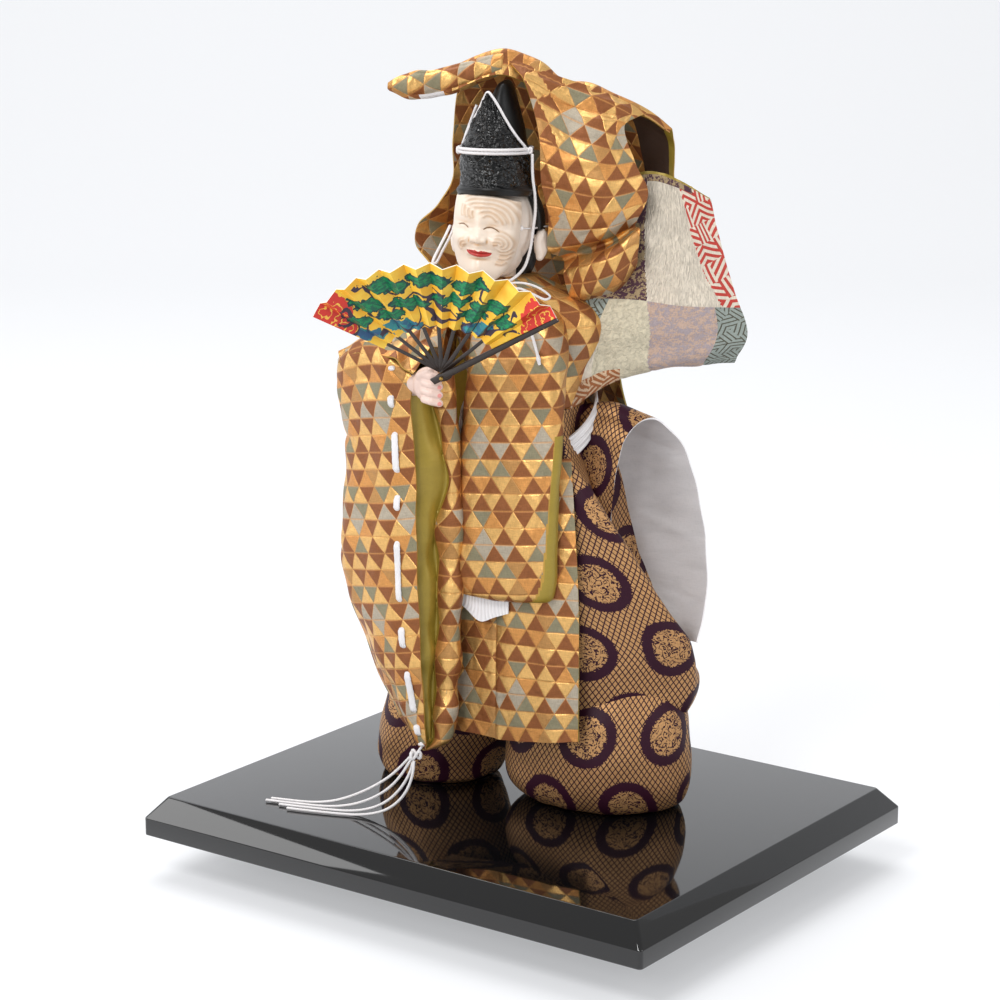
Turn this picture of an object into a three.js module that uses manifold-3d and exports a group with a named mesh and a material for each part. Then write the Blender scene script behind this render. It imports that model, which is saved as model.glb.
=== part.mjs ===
// A noh doll in a brocade robe, standing on its black lacquered plinth.
// Millimetres, Z up, the origin at the middle of the plinth's underside, the doll looking along -Y.

import * as THREE from 'three';
import { mergeVertices } from 'three/addons/utils/BufferGeometryUtils.js';
import Module from 'manifold-3d';

const wasm = await Module();
wasm.setup();

// Driving dimensions

const PLINTH_WIDTH = 450;
const PLINTH_DEPTH = 360;
const PLINTH_HEIGHT = 29;
const PLINTH_SIDE_HEIGHT = 13.5;
const PLINTH_CHAMFER = 12.5;
const PLINTH_CORNER = 3;

const DOLL_TURN = THREE.MathUtils.degToRad(14);
const DOLL_Y = 5;
const FACE_TURN = THREE.MathUtils.degToRad(10);
const HEAD_TILT = 4;
const HEAD_CENTRE = [-15, -20, 462];

const GAP = 0.3;
const FINEST = 0.06;
const CLOTH = 2.4;
const FLOOR = PLINTH_HEIGHT + GAP;

const SEAT = 331;
const ROBE_HEM = 90;

const FAN_RADIUS = 102;
const FAN_LEAF_INNER = 0.45;
const FAN_HALF_SPREAD = THREE.MathUtils.degToRad(56.4);
const FAN_PLEATS = 14;
const FAN_PLEAT_DEPTH = 2.2;
const FAN_STICKS = 8;
const FAN_PIVOT = [-23.2, -113, 370.5];
const FAN_UP = [0.139, -0.521, 0.842];
const FAN_FACE = [0.229, -0.81, -0.54];

const CORD = 2.2;
const HAT_CORD = 2.6;
const CHEVRON_CORD = 2;
const STRING = 1.2;
const LACING = 3.0;

// Geometry helpers

const vec = (p) => new THREE.Vector3(...p);

function signedVolume(points, faces) {
  let total = 0;
  for (const [a, b, c] of faces) {
    total += points[a].dot(new THREE.Vector3().crossVectors(points[b], points[c])) / 6;
  }
  return total;
}

function solidFrom(points, faces) {
  const turned = signedVolume(points, faces) < 0;
  const geometry = new THREE.BufferGeometry();
  geometry.setAttribute('position', new THREE.Float32BufferAttribute(points.flatMap((p) => [p.x, p.y, p.z]), 3));
  geometry.setIndex(faces.flatMap(([a, b, c]) => (turned ? [a, c, b] : [a, b, c])));
  return solid(geometry);
}

function solid(geometry) {
  const bare = geometry.clone();
  bare.deleteAttribute('normal');
  bare.deleteAttribute('uv');
  const merged = mergeVertices(bare, 1e-4);
  const mesh = new wasm.Mesh({
    numProp: 3,
    vertProperties: new Float32Array(merged.attributes.position.array),
    triVerts: new Uint32Array(merged.index.array),
  });
  return new wasm.Manifold(mesh);
}

function geometryOf(body) {
  const mesh = body.getMesh();
  const geometry = new THREE.BufferGeometry();
  geometry.setAttribute('position', new THREE.Float32BufferAttribute(mesh.vertProperties, 3));
  geometry.setIndex(Array.from(mesh.triVerts));
  geometry.computeVertexNormals();
  return geometry;
}

// The largest body that is left when a piece is cut back from its neighbours
function cutBack(body, ...neighbours) {
  let rest = body;
  for (const neighbour of neighbours) {
    rest = rest.subtract(neighbour);
  }
  const bodies = rest.simplify(FINEST).decompose();
  bodies.sort((a, b) => b.volume() - a.volume());
  return bodies[0];
}

function joined(...bodies) {
  return bodies.reduce((whole, body) => whole.add(body));
}

// A smooth net through rows of guide points, as net[along][across]
function net(rows, across, along) {
  const lines = rows.map((row) => new THREE.CatmullRomCurve3(row.map(vec), false, 'centripetal'));
  const grid = Array.from({ length: along + 1 }, () => []);
  for (let i = 0; i <= across; i++) {
    const stations = lines.map((line) => line.getPoint(i / across));
    const column = new THREE.CatmullRomCurve3(stations, false, 'centripetal');
    for (let j = 0; j <= along; j++) {
      grid[j].push(column.getPoint(j / along));
    }
  }
  return grid;
}

function netNormals(grid) {
  const rows = grid.length - 1;
  const columns = grid[0].length - 1;
  return grid.map((row, j) => row.map((point, i) => {
    const across = grid[j][Math.min(i + 1, columns)].clone().sub(grid[j][Math.max(i - 1, 0)]);
    const along = grid[Math.min(j + 1, rows)][i].clone().sub(grid[Math.max(j - 1, 0)][i]);
    return across.cross(along).normalize();
  }));
}

// How far an edge point of a net moves outward when the cloth's room is wanted
function edgeShift(grid, j, i, gap) {
  const shift = new THREE.Vector3();
  const rows = grid.length - 1;
  const columns = grid[0].length - 1;
  const point = grid[j][i];
  if (i === 0 || i === columns) {
    shift.add(point.clone().sub(grid[j][i === 0 ? 1 : columns - 1]).setLength(gap));
  }
  if (j === 0 || j === rows) {
    shift.add(point.clone().sub(grid[j === 0 ? 1 : rows - 1][i]).setLength(gap));
  }
  return shift;
}

// A cloth of even thickness: the net is its outer side, and side is +1 or -1 for where the inner side lies
function cloth(grid, side, thickness = CLOTH, gap = 0) {
  const normals = netNormals(grid);
  const rows = grid.length;
  const columns = grid[0].length;
  const outer = [];
  const inner = [];
  for (let j = 0; j < rows; j++) {
    for (let i = 0; i < columns; i++) {
      const point = grid[j][i].clone().add(edgeShift(grid, j, i, gap));
      outer.push(point.clone().addScaledVector(normals[j][i], -side * gap));
      inner.push(point.clone().addScaledVector(normals[j][i], side * (thickness + gap)));
    }
  }
  const points = outer.concat(inner);
  const far = outer.length;
  const faces = [];
  const quad = (a, b, c, d) => faces.push([a, b, c], [a, c, d]);
  for (let j = 0; j < rows - 1; j++) {
    for (let i = 0; i < columns - 1; i++) {
      const a = j * columns + i;
      quad(a, a + 1, a + 1 + columns, a + columns);
      quad(far + a, far + a + columns, far + a + 1 + columns, far + a + 1);
    }
  }
  for (let i = 0; i < columns - 1; i++) {
    const last = (rows - 1) * columns + i;
    quad(i + 1, i, far + i, far + i + 1);
    quad(last, last + 1, far + last + 1, far + last);
  }
  for (let j = 0; j < rows - 1; j++) {
    const left = j * columns;
    const right = left + columns - 1;
    quad(left, left + columns, far + left + columns, far + left);
    quad(right + columns, right, far + right, far + right + columns);
  }
  return solidFrom(points, faces);
}

// A closed form through rings of equal count, flat at both ends
function loft(rings, gap = 0) {
  const count = rings[0].length;
  const centres = rings.map((ring) => ring.reduce((sum, p) => sum.add(p), new THREE.Vector3()).divideScalar(count));
  const points = [];
  rings.forEach((ring, j) => {
    const end = (j === 0 ? centres[0].clone().sub(centres[1]) : centres.at(-1).clone().sub(centres.at(-2))).normalize();
    const lengthen = j === 0 || j === rings.length - 1 ? gap : 0;
    ring.forEach((p) => {
      const away = p.clone().sub(centres[j]).normalize();
      points.push(p.clone().addScaledVector(away, gap).addScaledVector(end, lengthen));
    });
  });
  const faces = [];
  for (let j = 0; j < rings.length - 1; j++) {
    for (let i = 0; i < count; i++) {
      const a = j * count + i;
      const b = j * count + (i + 1) % count;
      faces.push([a, b, b + count], [a, b + count, a + count]);
    }
  }
  for (const [first, turned] of [[0, true], [(rings.length - 1) * count, false]]) {
    const middle = points.length;
    const ring = points.slice(first, first + count);
    points.push(ring.reduce((sum, p) => sum.add(p), new THREE.Vector3()).divideScalar(count));
    for (let i = 0; i < count; i++) {
      const a = first + i;
      const b = first + (i + 1) % count;
      faces.push(turned ? [b, a, middle] : [a, b, middle]);
    }
  }
  return solidFrom(points, faces);
}

// Rings of equal count through a few key rings, at even steps
function smoothRings(rings, steps) {
  const count = rings[0].length;
  const out = Array.from({ length: steps + 1 }, () => []);
  for (let i = 0; i < count; i++) {
    const line = new THREE.CatmullRomCurve3(rings.map((ring) => ring[i]), false, 'centripetal');
    for (let j = 0; j <= steps; j++) {
      out[j].push(line.getPoint(j / steps));
    }
  }
  return out;
}

function ovalRing(x, y, z, radiusX, radiusY, count = 28, squareness = 0) {
  return Array.from({ length: count }, (_, i) => {
    const angle = (i / count) * 2 * Math.PI;
    const fuller = 1 + squareness * Math.sin(2 * angle) ** 2;
    return new THREE.Vector3(
      x + radiusX * fuller * Math.cos(angle),
      y + radiusY * fuller * Math.sin(angle),
      z,
    );
  });
}

// A closed ring through guide points that go round once
function guidedRing(points, count) {
  const curve = new THREE.CatmullRomCurve3(points.map(vec), true, 'centripetal');
  return Array.from({ length: count }, (_, i) => curve.getPoint(i / count));
}

function ellipsoid(centre, radii, gap = 0, around = 24, over = 16) {
  const geometry = new THREE.SphereGeometry(1, around, over);
  geometry.scale(radii[0] + gap, radii[1] + gap, radii[2] + gap);
  geometry.rotateX(Math.PI / 2);
  geometry.translate(...centre);
  return solid(geometry);
}

function cordSection(diameter, sides) {
  const shape = new THREE.Shape();
  for (let i = 0; i < sides; i++) {
    const angle = (i / sides) * 2 * Math.PI;
    const x = Math.cos(angle) * diameter / 2;
    const y = Math.sin(angle) * diameter / 2;
    if (i === 0) {
      shape.moveTo(x, y);
    } else {
      shape.lineTo(x, y);
    }
  }
  return shape;
}

function cordAlong(points, diameter, steps, sides = 5) {
  const extrudePath = new THREE.CatmullRomCurve3(points.map(vec), false, 'centripetal');
  const section = cordSection(diameter, sides);
  return solid(new THREE.ExtrudeGeometry(section, { steps, bevelEnabled: false, extrudePath }));
}

// An oval section carried along a closed line
function closedCord(line, width, height) {
  const sides = 6;
  const points = [];
  line.forEach((point, j) => {
    const next = line[(j + 1) % line.length];
    const before = line[(j + line.length - 1) % line.length];
    const ahead = next.clone().sub(before).normalize();
    const out = new THREE.Vector3().crossVectors(ahead, new THREE.Vector3(0, 0, 1)).normalize();
    const up = new THREE.Vector3().crossVectors(out, ahead).normalize();
    for (let i = 0; i < sides; i++) {
      const angle = (i / sides) * 2 * Math.PI;
      points.push(point.clone()
        .addScaledVector(out, Math.cos(angle) * width / 2)
        .addScaledVector(up, Math.sin(angle) * height / 2));
    }
  });
  const faces = [];
  const total = points.length;
  for (let j = 0; j < line.length; j++) {
    for (let i = 0; i < sides; i++) {
      const a = j * sides + i;
      const b = j * sides + (i + 1) % sides;
      faces.push([a, b, (b + sides) % total], [a, (b + sides) % total, (a + sides) % total]);
    }
  }
  return solidFrom(points, faces);
}

// Plinth

function plinthRing(z, inset) {
  const halfX = PLINTH_WIDTH / 2 - inset - PLINTH_CORNER;
  const halfY = PLINTH_DEPTH / 2 - inset - PLINTH_CORNER;
  const ring = [];
  for (const [signX, signY, start] of [[1, 1, 0], [-1, 1, 1], [-1, -1, 2], [1, -1, 3]]) {
    for (let i = 0; i <= 3; i++) {
      const angle = (start + i / 3) * Math.PI / 2;
      ring.push(new THREE.Vector3(
        signX * halfX + PLINTH_CORNER * Math.cos(angle),
        signY * halfY + PLINTH_CORNER * Math.sin(angle),
        z,
      ));
    }
  }
  return ring;
}

function plinthBody() {
  return loft([
    plinthRing(0, 0.6),
    plinthRing(0.6, 0),
    plinthRing(PLINTH_SIDE_HEIGHT, 0),
    plinthRing(PLINTH_HEIGHT, PLINTH_CHAMFER),
  ]);
}

// Hakama: one level of its upper part, from the front round by the doll's right to the open left side
function hakamaLevel({ z, front, edge, hollow, back, rear, right }) {
  return guidedRing([
    [0, front, z],
    [-right * 0.62, front * 0.72, z],
    [-right, 4, z],
    [-right * 0.72, rear * 0.74, z],
    [0, rear, z],
    [back[0], back[1], z],
    [hollow[0], hollow[1], z],
    [edge[0], edge[1], z],
    [edge[0] * 0.55, front * 0.86 + edge[1] * 0.14, z],
  ], 22);
}

const HAKAMA_LEVELS = [
  { z: 88, front: -34, edge: [104, 12], hollow: [100, 30], back: [82, 46], rear: 52, right: 98 },
  { z: 104, front: -43, edge: [121, 11], hollow: [116, 33], back: [93, 54], rear: 68, right: 116 },
  { z: 130, front: -47, edge: [127, 10], hollow: [122, 32], back: [98, 58], rear: 78, right: 122 },
  { z: 157, front: -49, edge: [127, 4], hollow: [82, 30], back: [92, 64], rear: 82, right: 119 },
  { z: 190, front: -48, edge: [111, -13], hollow: [58, 22], back: [74, 70], rear: 80, right: 111 },
  { z: 230, front: -46, edge: [91, -27], hollow: [52, 17], back: [60, 70], rear: 74, right: 96 },
  { z: 262, front: -44, edge: [70, -34], hollow: [47, 12], back: [53, 62], rear: 66, right: 78 },
  { z: 300, front: -41, edge: [44, -33], hollow: [42, 6], back: [44, 44], rear: 52, right: 56 },
  { z: SEAT, front: -37, edge: [33, -26], hollow: [38, 4], back: [33, 26], rear: 38, right: 42 },
];

function leg(levels, gap) {
  return loft(smoothRings(levels.map(([z, x, y, radiusX, radiusY]) => ovalRing(x, y, z, radiusX, radiusY, 14)), 6), gap);
}

const RIGHT_LEG = [
  [FLOOR, -82, 21, 44, 39],
  [33, -82, 21, 50, 46],
  [44, -81, 21, 54, 51],
  [70, -75, 19, 55, 53],
  [100, -69, 17, 51, 50],
  [125, -60, 14, 44, 42],
];

const LEFT_LEG = [
  [FLOOR, 67, 6, 57, 46],
  [33, 67, 6, 62, 52],
  [44, 67, 6, 64, 56],
  [70, 66, 7, 63, 57],
  [100, 64, 9, 60, 54],
  [125, 58, 10, 54, 46],
];

// The back panel's flare: from inside the hip out to the rim of its mouth, front edge first
const FLARE_ROOT = [
  [42, 8, 232], [41, 0, 262], [40, -4, 292], [40, 2, 318], [36, 14, 329],
  [36, 30, 317], [42, 46, 290], [50, 56, 250], [58, 60, 208], [72, 58, 176], [96, 46, 152],
];
const FLARE_MIDDLE = [
  [54, 5, 238], [55, -4, 262], [57, -5, 291], [59, -1, 317], [60, 14, 332],
  [63, 32, 324], [70, 52, 294], [80, 62, 252], [90, 64, 208], [100, 58, 172], [112, 40, 150],
];
const FLARE_RIM = [
  [63, 5, 240], [66, 0, 260], [71, -4, 288], [76, -1, 309], [84, 14, 321],
  [93, 30, 318], [105, 48, 296], [115, 57, 256], [121, 58, 212], [124, 48, 176], [127, 22, 154],
];

function flare(gap) {
  return cloth(net([FLARE_ROOT, FLARE_MIDDLE, FLARE_RIM], 14, 3), 1, 3, gap);
}

function hakama(gap = 0) {
  const hips = loft(smoothRings(HAKAMA_LEVELS.map(hakamaLevel), 9), gap);
  return joined(hips, leg(RIGHT_LEG, gap), leg(LEFT_LEG, gap), flare(gap));
}

// Sash: a belt that climbs towards the back, and its end folded to a point

const SASH_WIDTH = 17;
const SASH_SLOPE = 0.62;
const SASH_LEVEL = 318;

function sashLoop(radiusX, radiusY, lift, gap) {
  return ovalRing(-1, 2, 0, radiusX + gap, radiusY + gap, 28).map((p) => {
    p.z = SASH_LEVEL + SASH_SLOPE * p.y + lift;
    return p;
  });
}

function sashBelt(gap = 0) {
  const half = SASH_WIDTH / 2 + gap;
  const outside = loft([sashLoop(52, 46.5, -half, gap), sashLoop(52, 46.5, half, gap)]);
  const inside = loft([sashLoop(49.6, 44.1, -half - 2, -gap), sashLoop(49.6, 44.1, half + 2, -gap)]);
  return outside.subtract(inside);
}

// The end of the sash, from behind the blouse down over the skirt, folded to a point
const SASH_END_ROWS = [
  [[-33, -61, 196], [-20.5, -61.2, 187], [-8, -61.4, 178], [3, -61.4, 182], [14, -61.4, 186]],
  [[-33, -60.6, 214], [-20, -61, 214], [-8, -61.2, 214], [3, -61.2, 214], [14, -61, 214]],
  [[-26, -56, 254], [-16, -56.6, 254], [-6, -56.8, 254], [3, -56.8, 254], [12, -56.4, 254]],
  [[-22, -51, 287], [-13, -51.6, 287], [-5, -51.8, 287], [3, -51.8, 287], [11, -51.4, 287]],
];

function sashEnd(gap = 0) {
  return cloth(net(SASH_END_ROWS, 4, 6), 1, 1.6, gap);
}

// Outer robe

const TORSO_LEVELS = [
  [SEAT + GAP, 0, 2, 41, 35],
  [350, 0, 2, 46, 36],
  [375, -1, 1, 54, 36],
  [395, -3, 0, 58, 34],
  [410, -7, -3, 50, 30],
  [420, -11, -8, 34, 27],
  [427, -14, -12, 24, 22],
];

function torso(gap) {
  return loft(smoothRings(TORSO_LEVELS.map(([z, x, y, rx, ry]) => ovalRing(x, y, z, rx, ry, 16)), 5), gap);
}

// The bloused front panel: levels of its outer skin and of its back, rounded below
const BLOUSE_LEVELS = [
  { z: 196, left: -18, right: 32, front: -64, back: -58 },
  { z: 199, left: -25, right: 40, front: -69, back: -55.5 },
  { z: 212, left: -28, right: 43, front: -71, back: -55.5 },
  { z: 270, left: -28, right: 45, front: -68, back: -52 },
  { z: 330, left: -27, right: 46, front: -62, back: -46 },
  { z: 375, left: -27, right: 45, front: -56, back: -32 },
  { z: 402, left: -29, right: 34, front: -44, back: -18 },
  { z: 414, left: -27, right: 18, front: -34, back: -16 },
];

function blouse(gap) {
  const rings = BLOUSE_LEVELS.map(({ z, left, right, front, back }) => {
    const middle = (front + back) / 2;
    return guidedRing([
      [left, middle, z], [left + 4, front + 2, z], [(left + right) / 2, front - 1.5, z], [right - 4, front + 2, z],
      [right, middle, z], [right - 3, back, z], [(left + right) / 2, back, z], [left + 3, back, z],
    ], 14);
  });
  return loft(smoothRings(rings, 8), gap);
}

// The front skirt has one pressed fold, where the cloth steps forward
const SKIRT_ROWS = [
  [[-36, -49, 300], [-8, -50, 300], [2, -50.5, 300], [30, -47, 300], [48, -38, 300]],
  [[-38, -52, 214], [-8, -54, 214], [0, -56.5, 214], [36, -58, 214], [60, -55, 214]],
  [[-40, -53, 150], [-8, -55, 150], [0, -58.5, 150], [38, -61, 150], [63, -59, 150]],
  [[-41, -54, ROBE_HEM], [-7, -56, 88], [1, -60, 88], [38, -65, 92], [65, -66, 96]],
];

function skirt(gap) {
  return cloth(net(SKIRT_ROWS, 8, 5), 1, CLOTH, gap);
}

const BACK_ROWS = [
  [[-56, 8, 404], [-32, 27, 406], [-4, 32, 408], [20, 28, 406], [42, 14, 402]],
  [[-66, 22, 376], [-38, 43, 376], [0, 48, 376], [28, 45, 376], [52, 34, 372]],
  [[-74, 34, 344], [-42, 54, 342], [0, 58, 342], [30, 54, 342], [58, 36, 338]],
  [[-86, 55, 270], [-46, 74, 270], [0, 80, 270], [36, 78, 270], [68, 70, 270]],
  [[-88, 74, 200], [-48, 90, 200], [0, 95, 200], [42, 92, 200], [80, 84, 200]],
  [[-92, 74, 112], [-50, 92, 104], [0, 97, 102], [46, 95, 104], [88, 84, 112]],
];

function backPanel(gap) {
  return cloth(net(BACK_ROWS, 7, 8), 1, CLOTH, gap);
}

function robeBody(gap = 0) {
  const hanging = joined(blouse(gap), skirt(gap), backPanel(gap));
  return gap > 0 ? joined(hanging, torso(gap)) : joined(torso(gap), hanging);
}

// Right sleeve, a bag of cloth from the front cuff edge round by the elbow to the turned facing
function rightSleeveRow({ z, cuff, left, rear, facing, lift = 0, shoulder = 0 }) {
  const [cuffX, cuffY] = cuff;
  const [facingX, facingY] = facing;
  return [
    [cuffX, cuffY, z],
    [cuffX * 0.66 + left * 0.34, cuffY * 0.66 - 70 * 0.34 - 6, z + lift],
    [cuffX * 0.3 + left * 0.7, cuffY * 0.3 - 66 * 0.7 - 5, z + lift],
    [left + 5, -68, z],
    [left, -59, z],
    [left + 6, -51, z],
    [left * 0.55 + rear[0] * 0.45, -48 * 0.55 + rear[1] * 0.45, z + shoulder * 0.5],
    [rear[0], rear[1], z + shoulder],
    [facingX - 13, facingY + 2, z + shoulder * 0.3],
    [facingX - 3, facingY + 2, z],
    [facingX, facingY - 4, z],
    [facingX - 4, facingY - 7, z],
  ];
}

const RIGHT_SLEEVE_LEVELS = [
  { z: 372, cuff: [-60, -88], left: -121, rear: [-61, -4], facing: [-46, -60], lift: 10, shoulder: 26 },
  { z: 364, cuff: [-53, -95], left: -126, rear: [-62, 6], facing: [-38, -62], lift: 8, shoulder: 22 },
  { z: 345, cuff: [-52, -97], left: -127, rear: [-65, 10], facing: [-34, -64], lift: 2, shoulder: 8 },
  { z: 315, cuff: [-50, -97], left: -122, rear: [-71, 4], facing: [-31, -65] },
  { z: 285, cuff: [-49, -97], left: -121, rear: [-74, -16], facing: [-29, -66] },
  { z: 250, cuff: [-48, -98], left: -125, rear: [-76, -32], facing: [-27, -67] },
  { z: 205, cuff: [-47, -98], left: -123, rear: [-76, -46], facing: [-28, -68] },
  { z: 165, cuff: [-46, -98], left: -111, rear: [-74, -50], facing: [-29, -69] },
  { z: 130, cuff: [-45, -96], left: -96, rear: [-66, -54], facing: [-30, -70] },
  { z: 104, cuff: [-45, -93], left: -80, rear: [-58, -58], facing: [-32, -72] },
  { z: 88, cuff: [-45, -89], left: -66, rear: [-54, -64], facing: [-36, -74] },
];

const SLEEVE_TIP = [
  [-48, -84, 81], [-50, -83, 80.6], [-53, -81, 80.6], [-56, -78, 81], [-57, -75, 81], [-55, -72, 81],
  [-53, -71, 81], [-51, -70, 81], [-48, -71, 81], [-46, -72, 81], [-43, -75, 81.5], [-43, -78, 82],
];

function rightSleeveNet() {
  return net([...RIGHT_SLEEVE_LEVELS.map(rightSleeveRow), SLEEVE_TIP], 18, 10);
}

// The cloth that closes the bag over the bent arm, from the front wall to the rear wall
const SLEEVE_YOKE = [
  [[-54, -93, 371], [-68, -90, 381], [-95, -79, 380], [-121, -67, 370]],
  [[-47, -74, 380], [-66, -60, 391], [-94, -52, 387], [-125, -58, 370]],
  [[-44, -58, 378], [-61, -10, 398], [-90, -26, 386], [-120, -51, 369]],
];

function rightSleeve(gap = 0) {
  const bag = cloth(rightSleeveNet(), -1, CLOTH, gap);
  const yoke = cloth(net(SLEEVE_YOKE, 4, 3), 1, CLOTH, gap);
  return joined(bag, yoke);
}

// Left sleeve, thrown up over the head. Its near end is a rolled point that juts forward from the ridge.
const BEAK = [
  { x: -87, y: -53, z: 563, depth: 2, height: 3 },
  { x: -80, y: -48, z: 563.5, depth: 5, height: 8 },
  { x: -64, y: -38, z: 564.5, depth: 7, height: 10.5 },
  { x: -46, y: -27, z: 568.5, depth: 8, height: 10.5 },
  { x: -30, y: -17, z: 574, depth: 8, height: 9.5 },
  { x: -16, y: -8, z: 579, depth: 7, height: 7 },
];

function beak(gap) {
  const rings = BEAK.map(({ x, y, z, depth, height }) => Array.from({ length: 8 }, (_, i) => {
    const angle = (i / 8) * 2 * Math.PI;
    return new THREE.Vector3(x, y + depth * Math.cos(angle), z + height * Math.sin(angle));
  }));
  return loft(smoothRings(rings, 6), gap);
}

// The back sheet, from the ridge down to the shoulders, left to right
const BACK_SHEET = [
  [
    [-46, -34, 560], [-47, -28, 578], [-50, -2, 575], [-64, 18, 552], [-70, 23, 520],
    [-70, 24, 492], [-84, 30, 470], [-103, 34, 452], [-104, 32, 437], [-84, 24, 420],
  ],
  [
    [-16, -16, 571], [-15, -2, 588], [-18, 28, 578], [-26, 50, 550], [-32, 60, 515],
    [-38, 64, 486], [-50, 68, 462], [-62, 68, 440], [-62, 60, 420], [-50, 42, 404],
  ],
  [
    [20, 0, 556], [20, 12, 568], [20, 42, 555], [20, 66, 530], [18, 78, 502],
    [14, 82, 474], [6, 82, 450], [-4, 78, 430], [-8, 66, 414], [-6, 48, 403],
  ],
  [
    [52, 16, 546], [52, 27, 557], [54, 54, 542], [56, 72, 518], [58, 81, 496],
    [58, 84, 470], [56, 82, 448], [50, 76, 428], [42, 64, 414], [34, 46, 403],
  ],
  [
    [74, 30, 532], [76, 41, 543], [77, 62, 531], [78, 74, 511], [79, 79, 491],
    [80, 79, 469], [80, 76, 450], [78, 69, 434], [70, 57, 421], [59, 41, 408],
  ],
  [
    [86, 54, 520], [88, 60, 529], [87, 69, 519], [86, 74, 503], [86, 75, 486],
    [87, 74, 470], [87, 70, 455], [85, 62, 442], [79, 50, 429], [69, 36, 414],
  ],
];

// The front flap, from the peak to the cuff, with a deep crease and a puffed fold below it
const FRONT_FLAP = [
  [
    [-14, -8, 584], [0, -13, 568], [8, -16, 552], [15, -18, 526], [17, -20, 497],
    [22, -18, 470], [20, -13, 447], [26, 0, 438], [31, -10, 426], [36, -8, 411], [40, 8, 405],
  ],
  [
    [22, 8, 568], [30, 2, 554], [35, -7, 538], [39, -13, 519], [42, -16, 496],
    [45, -14, 472], [46, -10, 455], [47, 2, 447], [48, -12, 435], [49, -10, 417], [50, 8, 408],
  ],
  [
    [53, 24, 557], [57, 14, 546], [59, 3, 533], [62, -5, 516], [64, -9, 497],
    [66, -9, 477], [66, -6, 463], [64, 5, 454], [67, -11, 446], [68, -8, 428], [65, 10, 416],
  ],
  [
    [77, 37, 543], [72, 27, 540], [67, 16, 535], [73, 11, 520], [80, 11, 504],
    [87, 12, 488], [84, 6, 474], [78, 10, 464], [86, -3, 464], [85, -2, 447], [78, 14, 432],
  ],
];

function leftSleeve(gap = 0) {
  const back = cloth(net(BACK_SHEET, 10, 9), 1, CLOTH, gap);
  const front = cloth(net(FRONT_FLAP, 12, 7), -1, CLOTH, gap);
  return joined(back, front, beak(gap));
}

// Patchwork sleeve of the under-robe, a bag that hangs from the raised arm

const PATCHWORK_NEAR = [
  [[70, 34, 497], [84, 38, 498], [100, 42, 493], [124, 44, 481]],
  [[64, 20, 462], [86, 22, 462], [110, 30, 459], [131, 42, 455]],
  [[50, 8, 424], [80, 13, 424], [111, 22, 420], [143, 42, 417]],
  [[38, -9, 390], [70, 6, 390], [110, 19, 386], [154, 42, 385]],
  [[34, -14, 352], [60, 3, 362], [98, 20, 361], [147, 40, 367]],
  [[36, -12, 330], [58, 8, 346], [96, 27, 358], [143, 45, 363]],
];
const PATCHWORK_DEPTH = 17;

function underSleeve(gap = 0) {
  const away = [-0.4, 0.92];
  const farRows = PATCHWORK_NEAR.slice(0, -1).reverse().map((row) => row.map(([x, y, z], i) => {
    const depth = i === 3 ? PATCHWORK_DEPTH * 0.55 : PATCHWORK_DEPTH;
    return [x + away[0] * depth, y + away[1] * depth, z];
  }));
  return cloth(net([...PATCHWORK_NEAR, ...farRows], 5, 13), 1, CLOTH, gap);
}

// Head, in a frame of its own: the origin at its centre, the face towards -Y

function placeHead(body, tilt = HEAD_TILT) {
  return body.rotate([0, tilt, THREE.MathUtils.radToDeg(FACE_TURN)]).translate(HEAD_CENTRE);
}

function placeHat(body) {
  return placeHead(body, 0);
}

const EAR = { side: 29.4, y: 4, z: -10, radii: [3.6, 6.5, 10.5] };

function head(gap = 0) {
  const skull = ellipsoid([-1.5, 0, 3], [27, 29, 34], gap, 12, 8);
  const jaw = ellipsoid([-1, -8, -16], [21, 19, 19], gap, 10, 6);
  const neck = loft([ovalRing(0, 4, -44, 14, 14, 10), ovalRing(0, 4, -8, 13, 13, 10)], gap);
  const ears = [-1, 1].map((side) => ellipsoid([side * EAR.side, EAR.y, EAR.z], EAR.radii, gap, 6, 5));
  return joined(skull, jaw, neck, ...ears);
}

function hair(gap = 0) {
  const crown = ellipsoid([0, 5, 2], [32.5, 32, 37], gap, 12, 8);
  const hollow = ellipsoid([-1.5, 0, 3], [28.4, 30.4, 35.6], -gap, 12, 8);
  const nape = ellipsoid([0, 17, -20], [26, 16, 28], gap, 10, 6);
  const front = new THREE.BoxGeometry(120, 40, 140);
  front.translate(0, -24 - gap, 0);
  const ears = new THREE.BoxGeometry(120, 20 - 2 * gap, 34 - 2 * gap);
  ears.translate(0, 0, -16);
  return joined(crown, nape).subtract(solid(front)).subtract(solid(ears)).subtract(hollow);
}

// Levels of the mask from the brow to the chin: half width, front and side depths, cheek fullness,
// and how far the edges hang below the middle
const MASK_X = -5.4;
const MASK_SKEW = -3.5;
const MASK_LEVELS = [
  { z: 27.4, half: 22.6, front: -35, side: -16, cheek: 0.84, sag: 4 },
  { z: 20, half: 23.2, front: -37.5, side: -16, cheek: 0.84, sag: 2 },
  { z: 11, half: 23.6, front: -39.5, side: -16, cheek: 0.86, sag: 0 },
  { z: 4, half: 23.6, front: -39.5, side: -16, cheek: 0.84, sag: 0 },
  { z: -4, half: 23.4, front: -44.5, side: -16, cheek: 0.86, sag: 0 },
  { z: -10, half: 22.4, front: -42, side: -17, cheek: 0.84, sag: 0 },
  { z: -17, half: 20.6, front: -40, side: -18, cheek: 0.8, sag: 0 },
  { z: -26, half: 16.4, front: -39.5, side: -21, cheek: 0.78, sag: -1 },
  { z: -35, half: 10, front: -35, side: -24, cheek: 0.8, sag: -3 },
];

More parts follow.
